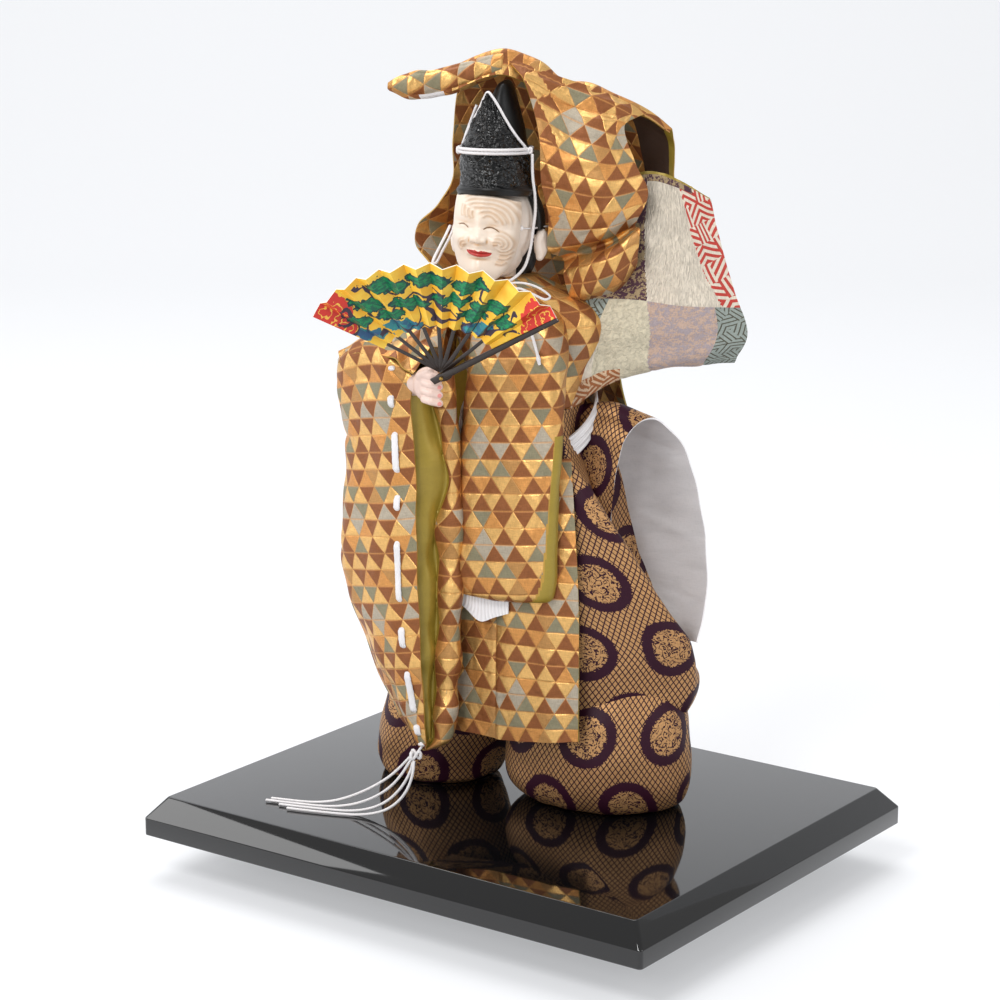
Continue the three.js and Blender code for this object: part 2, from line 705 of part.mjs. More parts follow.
function mask(gap = 0) {
  const rows = MASK_LEVELS.map(({ z, half, front, side, cheek, sag }) => {
    return [
      [-1, 0], [-0.86, 0.52], [-0.5, cheek], [-0.2, 0.92], [0, 1], [0.2, 0.92], [0.5, cheek], [0.86, 0.52], [1, 0],
    ].map(([across, forward]) => [
      MASK_X + half * across,
      side + MASK_SKEW * across * (1 - forward) + (front - side) * forward,
      z - sag * across * across,
    ]);
  });
  return cloth(net(rows, 10, 7), -1, 2, gap);
}

// A string from the mask's edges over the ears and round the back of the head
const MASK_STRING = [
  [18.6, -19.5, 4], [25.6, -9, 3], [30.4, 0, 3.4], [34.4, 8, 3], [31, 21, 1], [21, 32, -2], [5, 38.6, -4],
  [-12, 36.6, -3], [-25, 27.6, -1], [-33, 14, 2], [-33, 4, 3.2], [-31.4, -5, 3], [-29.6, -12, 4],
];

function maskString(gap = 0) {
  return cordAlong(MASK_STRING, STRING + 2 * gap, 20);
}

const HAT_LEVELS = [
  [24.6, -1.2, -2, 28, 36.5],
  [28.4, -1.2, -2, 28.8, 37.6],
  [31.6, -1.6, -1, 26.4, 34],
  [54, -3.2, 2, 23.6, 31],
  [70, -1.5, 7, 18, 25],
  [84, 0.2, 9, 12.6, 20],
  [96, 1.2, 12, 7.5, 17],
  [102, 1.6, 13, 4.6, 13],
  [104.2, 1.8, 13, 1.8, 9],
];
const BRIM_RISE = 4;
const HAT_WALL = 1.8;

// The stiff front of the hat, folded up to a point before the crown
const HAT_FRONT_ROWS = [
  [[-26.5, -3, 50], [-19, -21.5, 50], [-3, -29.6, 50], [13, -21.5, 50], [20.6, -4, 50]],
  [[-25.6, -4, 57], [-18, -20.6, 57], [-3.2, -28, 57], [12, -20, 57], [19.5, -6, 57]],
  [[-19.2, -9, 72], [-13.5, -18.5, 72], [-4.5, -23.2, 72], [5, -19, 72], [11.4, -12, 72]],
  [[-11.4, -10.4, 86], [-8.6, -15, 86], [-5, -17.2, 86], [-1, -15, 86], [2.8, -12.4, 86]],
  [[-7, -11, 96], [-6.2, -12, 96.5], [-5.5, -12.6, 96.8], [-4.8, -12, 96.5], [-4, -11.4, 96]],
];

function hatRings(inset) {
  return HAT_LEVELS.map(([z, x, y, radiusX, radiusY], level) => {
    const rise = level < 3 ? BRIM_RISE : 0;
    const lift = level === 0 ? -inset : 0;
    return ovalRing(x, y, z + lift, Math.max(0.4, radiusX - inset), Math.max(0.4, radiusY - inset), 15).map((p) => {
      p.z += rise * Math.max(0, (y - p.y) / radiusY) ** 2;
      return p;
    });
  });
}

function hat(gap = 0) {
  const shell = loft(hatRings(0), gap).subtract(loft(hatRings(HAT_WALL).slice(0, -1)));
  return joined(shell, cloth(net(HAT_FRONT_ROWS, 8, 4), 1, CLOTH, gap));
}

// Two turns of cord side by side round the hat, tied at both sides, with one end left standing
const HAT_KNOT = [21.6, -8, 57];
const HAT_CORD_TAIL = [[-27, -3, 58], [-24, -1.5, 68], [-20.4, -0.5, 78], [-16.8, 0, 87.5]];

function hatBand(gap = 0) {
  const line = ovalRing(-3.1, 1.5, 0, 25.9, 33.4, 20);
  line.forEach((p) => {
    p.z = 56.2 - 0.06 * p.y;
  });
  const knots = [HAT_KNOT, [-28.6, -3, 55.5]].map((centre) => ellipsoid(centre, [4.2, 4.2, 4.4], gap, 6, 4));
  return joined(
    closedCord(line, HAT_CORD + 2 * gap, 2 * HAT_CORD + 2 * gap),
    cordAlong(HAT_CORD_TAIL, CHEVRON_CORD + 2 * gap, 3),
    ...knots,
  );
}

const HAT_CHEVRON = [
  [20.6, -10, 60], [16.4, -13.4, 66], [11.4, -15, 73.5], [6.8, -15.2, 81], [2.4, -14.8, 88.4], [-2, -14, 94.8],
  [-5.6, -13.2, 98.2], [-8.6, -12.4, 94], [-12.4, -11.6, 86], [-17, -10.6, 77.6], [-21.6, -9, 69.4], [-25.4, -7, 61],
];

function hatChevron(gap = 0) {
  return cordAlong(HAT_CHEVRON, CHEVRON_CORD + 2 * gap, 16);
}

const CHIN_CORD = [
  [22.6, -8, 51.4], [25.4, -7, 40], [29.6, -6, 27.4], [30.6, -6, 16], [28.8, -7, 3], [27.6, -11, -13],
  [23, -19, -25.4], [13, -30, -34.4], [-1, -33.6, -36.8], [-14, -31.4, -31.4], [-21, -25, -23], [-27.4, -17, -12],
  [-30.6, -11, 0], [-32.4, -9, 12], [-34.6, -8, 24], [-34.6, -6, 36], [-33, -4, 47],
];

function chinCord(gap = 0) {
  return cordAlong(CHIN_CORD, CORD + 2 * gap, 24);
}

// The bow below the chin: a small knot with one long loop to the doll's left
const BOW_KNOT = [12.6, -36, -35.6];
const BOW_LOOP = [
  [15, -37, -34], [24, -40, -31.6], [34, -41.6, -31.8], [43, -41.4, -35], [48, -40, -39.4], [45, -39.6, -41.6],
  [36, -41, -38.6], [26, -40.6, -35.6], [15.6, -37.6, -37.6],
];
// A narrow loop of the same cord that hangs from the doll's right temple
const TEMPLE_LOOP = [
  [-33.4, -14.6, 0], [-34.6, -22, -6], [-36.4, -31, -13.4], [-38.4, -38.6, -21], [-38.6, -40, -24],
  [-36.6, -39.2, -23.6], [-34, -32, -16], [-31.6, -23.6, -8], [-30.6, -16.4, -2],
];

function chinBow(gap = 0) {
  const loop = cordAlong(BOW_LOOP, CORD + 2 * gap, 14);
  return joined(ellipsoid(BOW_KNOT, [3.4, 2.8, 3.2], gap, 8, 6), loop);
}

function templeLoop(gap = 0) {
  return cordAlong(TEMPLE_LOOP, CORD + 2 * gap, 14);
}

// Right hand, a loose fist with its wrist in the sleeve

function hand(gap = 0) {
  const wrist = cordAlong([[-42, -93, 358], [-56, -86, 356], [-72, -76, 354]], 17 + 2 * gap, 2, 8);
  const palm = ellipsoid([-39, -97, 359], [11, 9, 13], gap, 10, 6);
  const fingers = [0, 1, 2, 3].map((i) => {
    const z = 368 - i * 6;
    return cordAlong([[-38, -105, z], [-31, -109, z - 0.5], [-25.5, -106, z - 2]], 6.2 + 2 * gap, 3);
  });
  return joined(palm, wrist, ...fingers);
}

// Fan, in its own frame: the pivot at the origin, X across the leaf, Z up its middle, the face towards -Y

function placeFan(body) {
  const up = vec(FAN_UP).normalize();
  const face = vec(FAN_FACE).normalize();
  const across = new THREE.Vector3().crossVectors(up, face).normalize();
  const back = new THREE.Vector3().crossVectors(up, across).normalize();
  return body.transform([
    ...across.toArray(), 0, ...back.toArray(), 0, ...up.toArray(), 0, ...FAN_PIVOT, 1,
  ]);
}

function fanPoint(radius, angle, y) {
  return [radius * Math.sin(angle), y, radius * Math.cos(angle)];
}

function fanLeaf(gap = 0) {
  const folds = 2 * FAN_PLEATS;
  const grid = [FAN_LEAF_INNER * FAN_RADIUS, 0.74 * FAN_RADIUS, FAN_RADIUS].map((radius) => (
    Array.from({ length: folds + 1 }, (_, i) => {
      const angle = -FAN_HALF_SPREAD + (i / folds) * 2 * FAN_HALF_SPREAD;
      const depth = (i % 2 === 0 ? -0.5 : 0.5) * FAN_PLEAT_DEPTH * (radius / FAN_RADIUS);
      const reach = i % 2 === 0 ? radius : radius * 0.975;
      return vec(fanPoint(radius === FAN_RADIUS ? reach : radius, angle, depth));
    })
  ));
  return cloth(grid, 1, 0.7, gap);
}

function stick(angle, length, width, tip, y, thickness, gap) {
  const shape = new THREE.Shape();
  shape.moveTo(-width / 2 - gap, -12 - gap);
  shape.lineTo(width / 2 + gap, -12 - gap);
  shape.lineTo(tip / 2 + gap, length + gap);
  shape.lineTo(-tip / 2 - gap, length + gap);
  const geometry = new THREE.ExtrudeGeometry(shape, { depth: thickness + 2 * gap, bevelEnabled: false });
  geometry.rotateX(Math.PI / 2);
  geometry.translate(0, y + thickness / 2 + gap, 0);
  geometry.rotateY(angle);
  return solid(geometry);
}

function fanSticks(gap = 0) {
  const sticks = [];
  for (let i = 0; i < FAN_STICKS; i++) {
    const angle = -FAN_HALF_SPREAD * 0.97 + (i / FAN_STICKS) * 2 * FAN_HALF_SPREAD;
    const layer = 1.6 - 0.3 * i;
    sticks.push(stick(angle, FAN_LEAF_INNER * FAN_RADIUS + 26, 4.2, 2.6, layer + 1.2, 0.9, gap));
  }
  return joined(...sticks);
}

function fanGuard(gap = 0) {
  return stick(FAN_HALF_SPREAD, FAN_RADIUS, 6.5, 4.6, -2.6, 2, gap);
}

function fanRivet(gap = 0) {
  const geometry = new THREE.CylinderGeometry(1.4 + gap, 1.4 + gap, 10, 8);
  return solid(geometry);
}

// White lacing along the sleeve's cuff, its knot and the tassel cords that lie on the plinth

function sleeveLacing(gap = 0) {
  const grid = rightSleeveNet();
  const normals = netNormals(grid);
  const reach = LACING / 2 + GAP + 0.9;
  const line = grid.slice(1, -1).map((row, j) => (
    row[1].clone().lerp(row[2], 0.5).addScaledVector(normals[j + 1][1], reach).toArray()
  ));
  return cordAlong(line, LACING + 2 * gap, 22);
}

const TASSEL_KNOT = { centre: [-55, -88, 78], radii: [4.6, 4.6, 5.4] };

function tasselKnot(gap = 0) {
  return ellipsoid(TASSEL_KNOT.centre, TASSEL_KNOT.radii, gap, 10, 8);
}

// Each cord keeps its own lane from the knot to the plinth, so none runs through another
const TASSEL_ROUTES = [
  [
    [-59.6, -84.4, 75.4], [-63, -84.4, 71.6], [-69, -84.4, 65], [-77, -84.6, 57.4], [-87, -85, 50],
    [-98, -85.8, 43.4], [-110, -86.8, 37.6], [-122, -88, 33.4], [-134, -89.4, 31.2], [-146, -90.6, 30.5],
    [-158, -91.6, 30.5], [-171, -92.4, 30.5],
  ],
  [
    [-58.4, -87.6, 73.2], [-61, -87.8, 69], [-65.4, -88, 62], [-72, -88.4, 53.6], [-81, -89, 45.6],
    [-92, -90, 39], [-104, -91.4, 34.2], [-117, -93, 31.4], [-130, -94.6, 30.5], [-144, -96, 30.5],
    [-158, -97, 30.5], [-173, -97.6, 30.5],
  ],
  [
    [-55.4, -90.8, 72.6], [-56.6, -91.4, 67.4], [-60, -92, 59.6], [-65.6, -92.6, 51], [-73.6, -93.4, 42.6],
    [-83.6, -94.4, 36.2], [-94.6, -95.8, 32.4], [-106.6, -97.6, 30.7], [-119.6, -99.4, 30.5],
    [-132.6, -100.8, 30.5], [-145.6, -101.8, 30.5], [-159.6, -102.4, 30.5],
  ],
  [
    [-53, -94, 75.2], [-52.8, -95.8, 69], [-54.6, -97, 60], [-58.6, -98, 51], [-65.4, -99, 42.6],
    [-74.4, -100, 36.2], [-85.4, -101.4, 32.4], [-97.4, -103.2, 30.7], [-110.4, -105, 30.5],
    [-123.4, -106.4, 30.5], [-136.4, -107.4, 30.5], [-150.4, -108, 30.5],
  ],
];

const CHIN_END_ROUTE = [
  [4.6, -57.4, 421.5], [9, -58.8, 417], [14.4, -59.8, 411.4], [19.4, -60.2, 405.4], [23.4, -60.4, 399],
  [26.4, -60.6, 392], [28.8, -60.9, 385], [30.8, -61.2, 378.4], [32.4, -61.6, 372],
];

// The object: the doll stands turned on its plinth

const BLACK_LACQUER = { color: 0x0b0b0c, roughness: 0.12, metalness: 0 };
const PURPLE_SILK = { color: 0x5b2f3a, roughness: 0.7, metalness: 0.1 };
const GOLD_BROCADE = { color: 0xb8843c, roughness: 0.5, metalness: 0.4 };
const PATCHWORK_SILK = { color: 0xb9ad97, roughness: 0.75, metalness: 0 };
const WHITE_SILK = { color: 0xeeebe4, roughness: 0.7, metalness: 0 };
const WHITE_GOFUN = { color: 0xf0e6d8, roughness: 0.45, metalness: 0 };
const IVORY_GOFUN = { color: 0xe9d9b4, roughness: 0.4, metalness: 0 };
const PINK_GOFUN = { color: 0xf0d2c8, roughness: 0.45, metalness: 0 };
const BLACK_HAIR = { color: 0x0d0c0c, roughness: 0.55, metalness: 0 };
const BLACK_HAT = { color: 0x101011, roughness: 0.25, metalness: 0 };
const FAN_PAPER = { color: 0xe0a52c, roughness: 0.6, metalness: 0.1 };
const DARK_BAMBOO = { color: 0x2a1a12, roughness: 0.5, metalness: 0 };
const BRASS = { color: 0xb08d4a, roughness: 0.35, metalness: 0.9 };

const object = new THREE.Group();
const doll = new THREE.Group();
doll.rotation.z = DOLL_TURN;
doll.position.y = DOLL_Y;
object.add(doll);

function add(group, name, body, finish) {
  const mesh = new THREE.Mesh(geometryOf(body), new THREE.MeshStandardMaterial(finish));
  mesh.name = name;
  group.add(mesh);
}

// The room of a piece is the piece grown by the gap; whatever lies against it is cut back to that room
const room = {
  hakama: hakama(GAP),
  sash: joined(sashBelt(GAP), sashEnd(GAP)),
  robe: robeBody(GAP),
  rightSleeve: rightSleeve(GAP),
  leftSleeve: leftSleeve(GAP),
  head: placeHead(head(GAP)),
  hair: placeHead(hair(GAP)),
  mask: placeHead(mask(GAP)),
  string: placeHead(maskString(GAP)),
  hat: placeHat(hat(GAP)),
  band: placeHat(hatBand(GAP)),
  chevron: placeHat(hatChevron(GAP)),
  chinCord: placeHead(chinCord(GAP)),
  bow: placeHead(chinBow(GAP)),
  loop: placeHead(templeLoop(GAP)),
  hand: hand(GAP),
  sticks: placeFan(fanSticks(GAP)),
  guard: placeFan(fanGuard(GAP)),
  rivet: placeFan(fanRivet(GAP)),
  knot: tasselKnot(GAP),
};

add(object, 'plinth', plinthBody(), BLACK_LACQUER);

add(doll, 'hakama', hakama(), PURPLE_SILK);
add(doll, 'sash_belt', cutBack(sashBelt(), room.hakama), WHITE_SILK);
add(doll, 'sash_end', sashEnd(), WHITE_SILK);
add(doll, 'robe_body', cutBack(robeBody(), room.hakama, room.sash), GOLD_BROCADE);
add(doll, 'robe_right_sleeve', cutBack(rightSleeve(), room.robe), GOLD_BROCADE);
add(doll, 'robe_left_sleeve', cutBack(leftSleeve(), room.robe), GOLD_BROCADE);
add(doll, 'under_sleeve', cutBack(underSleeve(), room.robe, room.leftSleeve, room.hakama), PATCHWORK_SILK);

add(doll, 'head', cutBack(placeHead(head()), room.robe, room.chinCord, room.string), WHITE_GOFUN);
add(doll, 'hair', cutBack(
  placeHead(hair()), room.head, room.robe, room.chinCord, room.string, room.leftSleeve,
), BLACK_HAIR);
add(doll, 'mask', cutBack(
  placeHead(mask()), room.head, room.hair, room.chinCord, room.loop, room.bow, room.string,
), IVORY_GOFUN);
add(doll, 'mask_string', cutBack(placeHead(maskString()), room.chinCord), WHITE_SILK);
add(doll, 'hat', cutBack(placeHat(hat()), room.hair, room.mask, room.chinCord), BLACK_HAT);
add(doll, 'hat_band', cutBack(placeHat(hatBand()), room.hat), WHITE_SILK);
add(doll, 'hat_chevron', cutBack(placeHat(hatChevron()), room.hat, room.band), WHITE_SILK);
add(doll, 'chin_cord', cutBack(placeHead(chinCord()), room.band, room.chevron), WHITE_SILK);
add(doll, 'chin_bow', cutBack(placeHead(chinBow()), room.chinCord, room.robe, room.leftSleeve), WHITE_SILK);
add(doll, 'chin_cord_loop', cutBack(placeHead(templeLoop()), room.chinCord, room.string), WHITE_SILK);
add(doll, 'chin_cord_end', cutBack(cordAlong(CHIN_END_ROUTE, CORD, 10, 8), room.robe), WHITE_SILK);

add(doll, 'right_hand', cutBack(hand(), room.rightSleeve, room.sticks, room.guard), PINK_GOFUN);
add(doll, 'fan_leaf', cutBack(placeFan(fanLeaf()), room.sticks, room.guard), FAN_PAPER);
add(doll, 'fan_sticks', cutBack(placeFan(fanSticks()), room.rivet), DARK_BAMBOO);
add(doll, 'fan_guard', cutBack(placeFan(fanGuard()), room.sticks, room.rivet), DARK_BAMBOO);
add(doll, 'fan_rivet', cutBack(placeFan(fanRivet()), room.hand), BRASS);

add(doll, 'sleeve_lacing', cutBack(sleeveLacing(), room.rightSleeve, room.knot), WHITE_SILK);
add(doll, 'tassel_knot', cutBack(tasselKnot(), room.rightSleeve), WHITE_SILK);
TASSEL_ROUTES.forEach((route, i) => {
  add(doll, `tassel_cord_${i + 1}`, cutBack(cordAlong(route, CORD, 20, 8), room.knot), WHITE_SILK);
});

export default object;
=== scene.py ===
"""The looks of a noh doll in a brocade robe on its black lacquered plinth."""

import functools
import math

import bmesh
import bpy
import numpy as np
from bpy.props import FloatProperty, FloatVectorProperty, PointerProperty
from mathutils import Matrix, Vector


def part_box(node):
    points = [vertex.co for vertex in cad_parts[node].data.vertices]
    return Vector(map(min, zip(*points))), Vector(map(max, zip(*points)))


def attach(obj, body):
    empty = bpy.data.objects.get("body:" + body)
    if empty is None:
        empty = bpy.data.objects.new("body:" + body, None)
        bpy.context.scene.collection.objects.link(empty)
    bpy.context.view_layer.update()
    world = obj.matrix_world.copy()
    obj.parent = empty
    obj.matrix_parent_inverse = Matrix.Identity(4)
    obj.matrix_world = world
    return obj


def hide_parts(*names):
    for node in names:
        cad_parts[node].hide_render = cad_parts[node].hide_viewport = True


bl_info = {
    "name": "Noh doll",
    "version": (1, 0, 0),
    "blender": (4, 5, 0),
    "location": "View3D > Sidebar > Noh doll",
    "description": "Builds a noh doll in a brocade robe on its plinth",
    "category": "Object",
}

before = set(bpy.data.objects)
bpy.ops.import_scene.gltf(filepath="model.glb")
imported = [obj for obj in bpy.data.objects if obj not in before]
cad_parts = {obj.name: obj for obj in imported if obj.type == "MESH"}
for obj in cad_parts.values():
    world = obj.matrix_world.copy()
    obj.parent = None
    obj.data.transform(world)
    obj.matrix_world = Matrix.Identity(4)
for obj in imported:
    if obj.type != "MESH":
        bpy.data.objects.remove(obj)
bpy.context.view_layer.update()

MM = 0.001
DOLL_TURN = math.radians(14)
DOLL_PLACE = (0.0, 5.0)
FACE_TURN = math.radians(10)
HEAD_TILT = math.radians(4)
HEAD_CENTRE = (-15.0, -20.0, 462.0)

# Colours


def linear(colour):
    """A colour written as six hexadecimal digits, as the linear values that shaders take."""
    parts = [int(colour[i:i + 2], 16) / 255 for i in (0, 2, 4)]
    return tuple(p / 12.92 if p <= 0.04045 else ((p + 0.055) / 1.055) ** 2.4 for p in parts) + (1.0,)


# Settings


def length(name, description, default):
    """A size in metres that a user can change."""
    return FloatProperty(
        name=name, description=description, default=default, subtype="DISTANCE", unit="LENGTH",
    )


def colour(name, description, default):
    """A colour that a user can change."""
    return FloatVectorProperty(
        name=name, description=description, default=linear(default), size=4, min=0, max=1, subtype="COLOR",
    )


class PlinthSettings(bpy.types.PropertyGroup):
    """Sizes and colour of the plinth"""

    side: length("Side height", "Height of the upright side below the slope", 0.0135)
    slope: length("Slope width", "Width of the sloping edge, seen from above", 0.0125)
    corner: length("Corner radius", "Radius of the upright corners", 0.003)
    softening: length("Edge softening", "Radius of the lacquer on every edge", 0.0006)
    lacquer: colour("Lacquer", "Colour of the lacquer", "0a0a0b")


class BrocadeSettings(bpy.types.PropertyGroup):
    """Sizes and colours of the robe's triangle brocade"""

    cloth: length("Cloth thickness", "Thickness of the lined brocade", 0.0013)
    base: length("Triangle width", "Width of one woven triangle", 0.0146)
    row: length("Triangle height", "Height of one row of triangles", 0.0124)
    gold: colour("Gold", "Gold thread", "deb06c")
    amber: colour("Amber", "Amber thread", "cb8f50")
    copper: colour("Copper", "Copper brown thread", "86502a")
    tan: colour("Tan", "Tan thread", "b0824c")
    sage: colour("Sage", "Sage green thread", "80795f")
    grey: colour("Grey", "Grey beige thread", "a59a88")
    lining: colour("Lining", "Olive satin lining", "96802e")


class HakamaSettings(bpy.types.PropertyGroup):
    """Sizes and colours of the hakama"""

    cloth: length("Cloth thickness", "Thickness of the hakama's cloth", 0.0014)
    lozenge: length("Lozenge width", "Width of one lozenge of the lattice", 0.0046)
    roundel: length("Roundel radius", "Outer radius of a woven roundel", 0.0235)
    ring: length("Ring width", "Width of the roundel's ring", 0.0078)
    spacing: length("Roundel spacing", "Distance between roundels in a row", 0.066)
    gold: colour("Gold", "Gold thread of the ground", "d2a26e")
    purple: colour("Purple", "Purple silk", "2e0a1e")
    lining: colour("Lining", "Pale lining of the wing", "cbc8c9")


class PatchworkSettings(bpy.types.PropertyGroup):
    """Colours of the patchwork sleeve"""

    cream: colour("Cream", "Cream crepe", "d8cdbc")
    beige: colour("Beige", "Green beige crepe", "c4bba4")
    lilac: colour("Lilac", "Grey lilac ground", "a2969a")
    peach: colour("Peach", "Peach flecks", "bea392")
    sage: colour("Sage", "Grey green ground", "8d9690")
    red: colour("Red", "Red woven key lines", "b8392f")
    rust: colour("Rust", "Rust hatching", "96592f")
    plum: colour("Plum", "Dark plum ground", "4b2b3a")


class CordSettings(bpy.types.PropertyGroup):
    """Sizes and colour of the white cords"""

    cord: length("Cord", "Diameter of the chin cord and the tassel cords", 0.0022)
    lacing: length("Lacing", "Width of the flat lacing on the sleeve", 0.0044)
    white: colour("White", "White silk of cords and sash", "ebe8e9")


class HeadSettings(bpy.types.PropertyGroup):
    """Colours of the head, the mask, the hat and the hand"""

    ivory: colour("Ivory", "Ivory ground of the mask", "e0d2c3")
    groove: colour("Groove", "Warm shade in the wrinkles", "b98f5e")
    lips: colour("Lips", "Red of the lips", "b2322c")
    face: colour("Face", "White of the face", "ddd0c4")
    hand: colour("Hand", "Pale skin of the hand", "d8bfb3")
    nail: colour("Nail", "Pink of the nails", "d98c84")
    hair: colour("Hair", "Black hair", "0b0a0a")
    hat: colour("Hat", "Black lacquered hat", "020203")


class FanSettings(bpy.types.PropertyGroup):
    """Colours of the fan"""

    gold: colour("Gold", "Gold ground of the leaf", "f0b52a")
    cloud: colour("Cloud", "Red cloud", "cf3327")
    green: colour("Green", "Pine green", "0f8a52")
    blue: colour("Blue", "Rock blue", "26507c")
    bark: colour("Bark", "Pine bark", "3a2a3c")
    bamboo: colour("Bamboo", "Dark bamboo", "1c1512")
    brass: colour("Brass", "Brass rivet", "b08d4a")


class StageSettings(bpy.types.PropertyGroup):
    """The camera and the pale floor"""

    lens: FloatProperty(name="Lens", description="Focal length in millimetres", default=105.711)
    camera: FloatVectorProperty(
        name="Camera place", description="Where the camera stands", default=(1.2292, -1.7218, 0.7683),
        subtype="TRANSLATION", unit="LENGTH",
    )
    floor: colour("Floor", "Colour of the floor", "b8b9bb")


class DollSettings(bpy.types.PropertyGroup):
    """All settings of the doll"""

    plinth: PointerProperty(type=PlinthSettings)
    brocade: PointerProperty(type=BrocadeSettings)
    hakama: PointerProperty(type=HakamaSettings)
    patchwork: PointerProperty(type=PatchworkSettings)
    cords: PointerProperty(type=CordSettings)
    head: PointerProperty(type=HeadSettings)
    fan: PointerProperty(type=FanSettings)
    stage: PointerProperty(type=StageSettings)


def settings():
    return bpy.context.scene.noh_doll


# Places: nets and lines are in millimetres in the doll's own frame, pieces are in metres on the plinth


def doll(points):
    """Points of the doll's own frame, in millimetres, as places over the plinth, in metres."""
    points = np.asarray(points, float)
    cos, sin = math.cos(DOLL_TURN), math.sin(DOLL_TURN)
    x, y, z = points[..., 0], points[..., 1], points[..., 2]
    return np.stack([cos * x - sin * y + DOLL_PLACE[0], sin * x + cos * y + DOLL_PLACE[1], z], axis=-1) * MM


def on_head(points, tilt=HEAD_TILT):
    """Points of the head's frame, its face towards -Y, in the doll's frame."""
    points = np.asarray(points, float)
    x = points[..., 0] * math.cos(tilt) + points[..., 2] * math.sin(tilt)
    z = points[..., 2] * math.cos(tilt) - points[..., 0] * math.sin(tilt)
    y = points[..., 1]
    cos, sin = math.cos(FACE_TURN), math.sin(FACE_TURN)
    return np.stack([cos * x - sin * y, sin * x + cos * y, z], axis=-1) + np.array(HEAD_CENTRE)


def on_hat(points):
    return on_head(points, 0)


def spline(points, at, closed=False):
    """The smooth line through a list of points, at shares of its length of list from 0 to 1."""
    points = np.asarray(points, float)
    if closed:
        padded = np.concatenate([points[-1:], points, points[:2]])
        last = len(points)
    else:
        padded = np.concatenate([[2 * points[0] - points[1]], points, [2 * points[-1] - points[-2]]])
        last = len(points) - 1
    share = np.clip(np.asarray(at, float), 0, 1) * last
    first = np.minimum(share.astype(int), last - 1)
    w = (share - first).reshape((-1,) + (1,) * (points.ndim - 1))
    p0, p1, p2, p3 = (padded[first + k] for k in range(4))
    d0, d1, d2 = (
        np.sqrt(np.linalg.norm(b - a, axis=-1, keepdims=True)) for a, b in ((p0, p1), (p1, p2), (p2, p3))
    )
    d1 = np.where(d1 < 1e-4, 1.0, d1)
    d0 = np.where(d0 < 1e-4, d1, d0)
    d2 = np.where(d2 < 1e-4, d1, d2)
    t1 = ((p1 - p0) / d0 - (p2 - p0) / (d0 + d1) + (p2 - p1) / d1) * d1
    t2 = ((p2 - p1) / d1 - (p3 - p1) / (d1 + d2) + (p3 - p2) / d2) * d1
    return p1 + t1 * w + (3 * (p2 - p1) - 2 * t1 - t2) * w ** 2 + (2 * (p1 - p2) + t1 + t2) * w ** 3


def steps(count):
    return np.linspace(0, 1, count + 1)


def net(rows, across, along):
    """A smooth net through rows of guide points, as an array [along][across] of points."""
    stations = np.stack([spline(row, steps(across)) for row in rows])
    return spline(stations, steps(along))


def ring_net(rings, around, along):
    """A smooth tube net through closed rings of guide points; its last column meets its first."""
    closed = [spline(ring, steps(around), closed=True) for ring in rings]
    return spline(np.stack(closed), steps(along))


def oval(x, y, z, radius_x, radius_y, count):
    """Evenly spaced points of a level oval."""
    angle = np.arange(count) / count * math.tau
    return np.stack(
        [x + radius_x * np.cos(angle), y + radius_y * np.sin(angle), np.full(count, float(z))], axis=-1,
    )


def normals(grid):
    """Unit normals of a net, the way that across and along turn."""
    across = np.gradient(grid, axis=1)
    along = np.gradient(grid, axis=0)
    out = np.cross(across, along)
    return out / np.maximum(np.linalg.norm(out, axis=-1, keepdims=True), 1e-9)


def moved(grid, amount):
    """The net with each point moved along its normal by an amount in millimetres."""
    return grid + normals(grid) * np.asarray(amount)[..., None]


def flatten(grid, rounds):
    """Where each point of a net lay on the flat cloth, in millimetres, eased until lengths agree."""
    whole, first, last = slice(None), slice(0, -1), slice(1, None)
    pairs = [
        ((whole, first), (whole, last)), ((first, whole), (last, whole)),
        ((first, first), (last, last)), ((first, last), (last, first)),
    ]
    lengths = [np.linalg.norm(grid[b] - grid[a], axis=-1) for a, b in pairs]
    flat = np.zeros(grid.shape[:2] + (2,))
    flat[:, 1:, 0] = np.cumsum(lengths[0].mean(axis=0))
    flat[1:, :, 1] = np.cumsum(lengths[1].mean(axis=1))[:, None]
    for _ in range(rounds):
        push = np.zeros_like(flat)
        for (a, b), rest in zip(pairs, lengths):
            apart = flat[b] - flat[a]
            now = np.maximum(np.linalg.norm(apart, axis=-1), 1e-6)
            pull = apart * ((now - rest) / now)[..., None] * 0.5
            push[a] += pull
            push[b] -= pull
        flat += push * 0.25
    return flat


def bell(distance, width):
    """A smooth bump: 1 at no distance, and next to nothing at twice its width."""
    return np.exp(-(distance / width) ** 2)


def ripples(flat, size, depth, seed, across=1.0, along=1.0):
    """A soft waviness over the flat cloth: wave size and depth in millimetres, the same on each run."""
    random = np.random.default_rng(seed)
    total = np.zeros(flat.shape[:2])
    for _ in range(16):
        turn, phase = random.uniform(0, math.tau, 2)
        wave = size * random.uniform(0.6, 1.7)
        way = flat[..., 0] * math.cos(turn) * across + flat[..., 1] * math.sin(turn) * along
        total += np.sin(2 * math.pi * way / wave + phase)
    return depth * total / 4


def dent(flat, start, end, width, depth, sharp=1.5):
    """A fold or crease along a straight line on the flat cloth, in millimetres; it dies out at its ends."""
    start, end = np.array(start, float), np.array(end, float)
    way = end - start
    size = np.linalg.norm(way)
    share = np.clip(((flat - start) @ way) / size ** 2, 0, 1)
    off = np.linalg.norm(flat - (start + share[..., None] * way), axis=-1)
    fade = np.sin(math.pi * np.clip(share, 0.02, 0.98)) ** 0.5
    return depth * fade * np.exp(-(off / width) ** sharp)


# Pieces


def deselect():
    for thing in bpy.context.selected_objects:
        thing.select_set(False)


def only(piece):
    """Makes one piece the selected and active one."""
    deselect()
    piece.select_set(True)
    bpy.context.view_layer.objects.active = piece


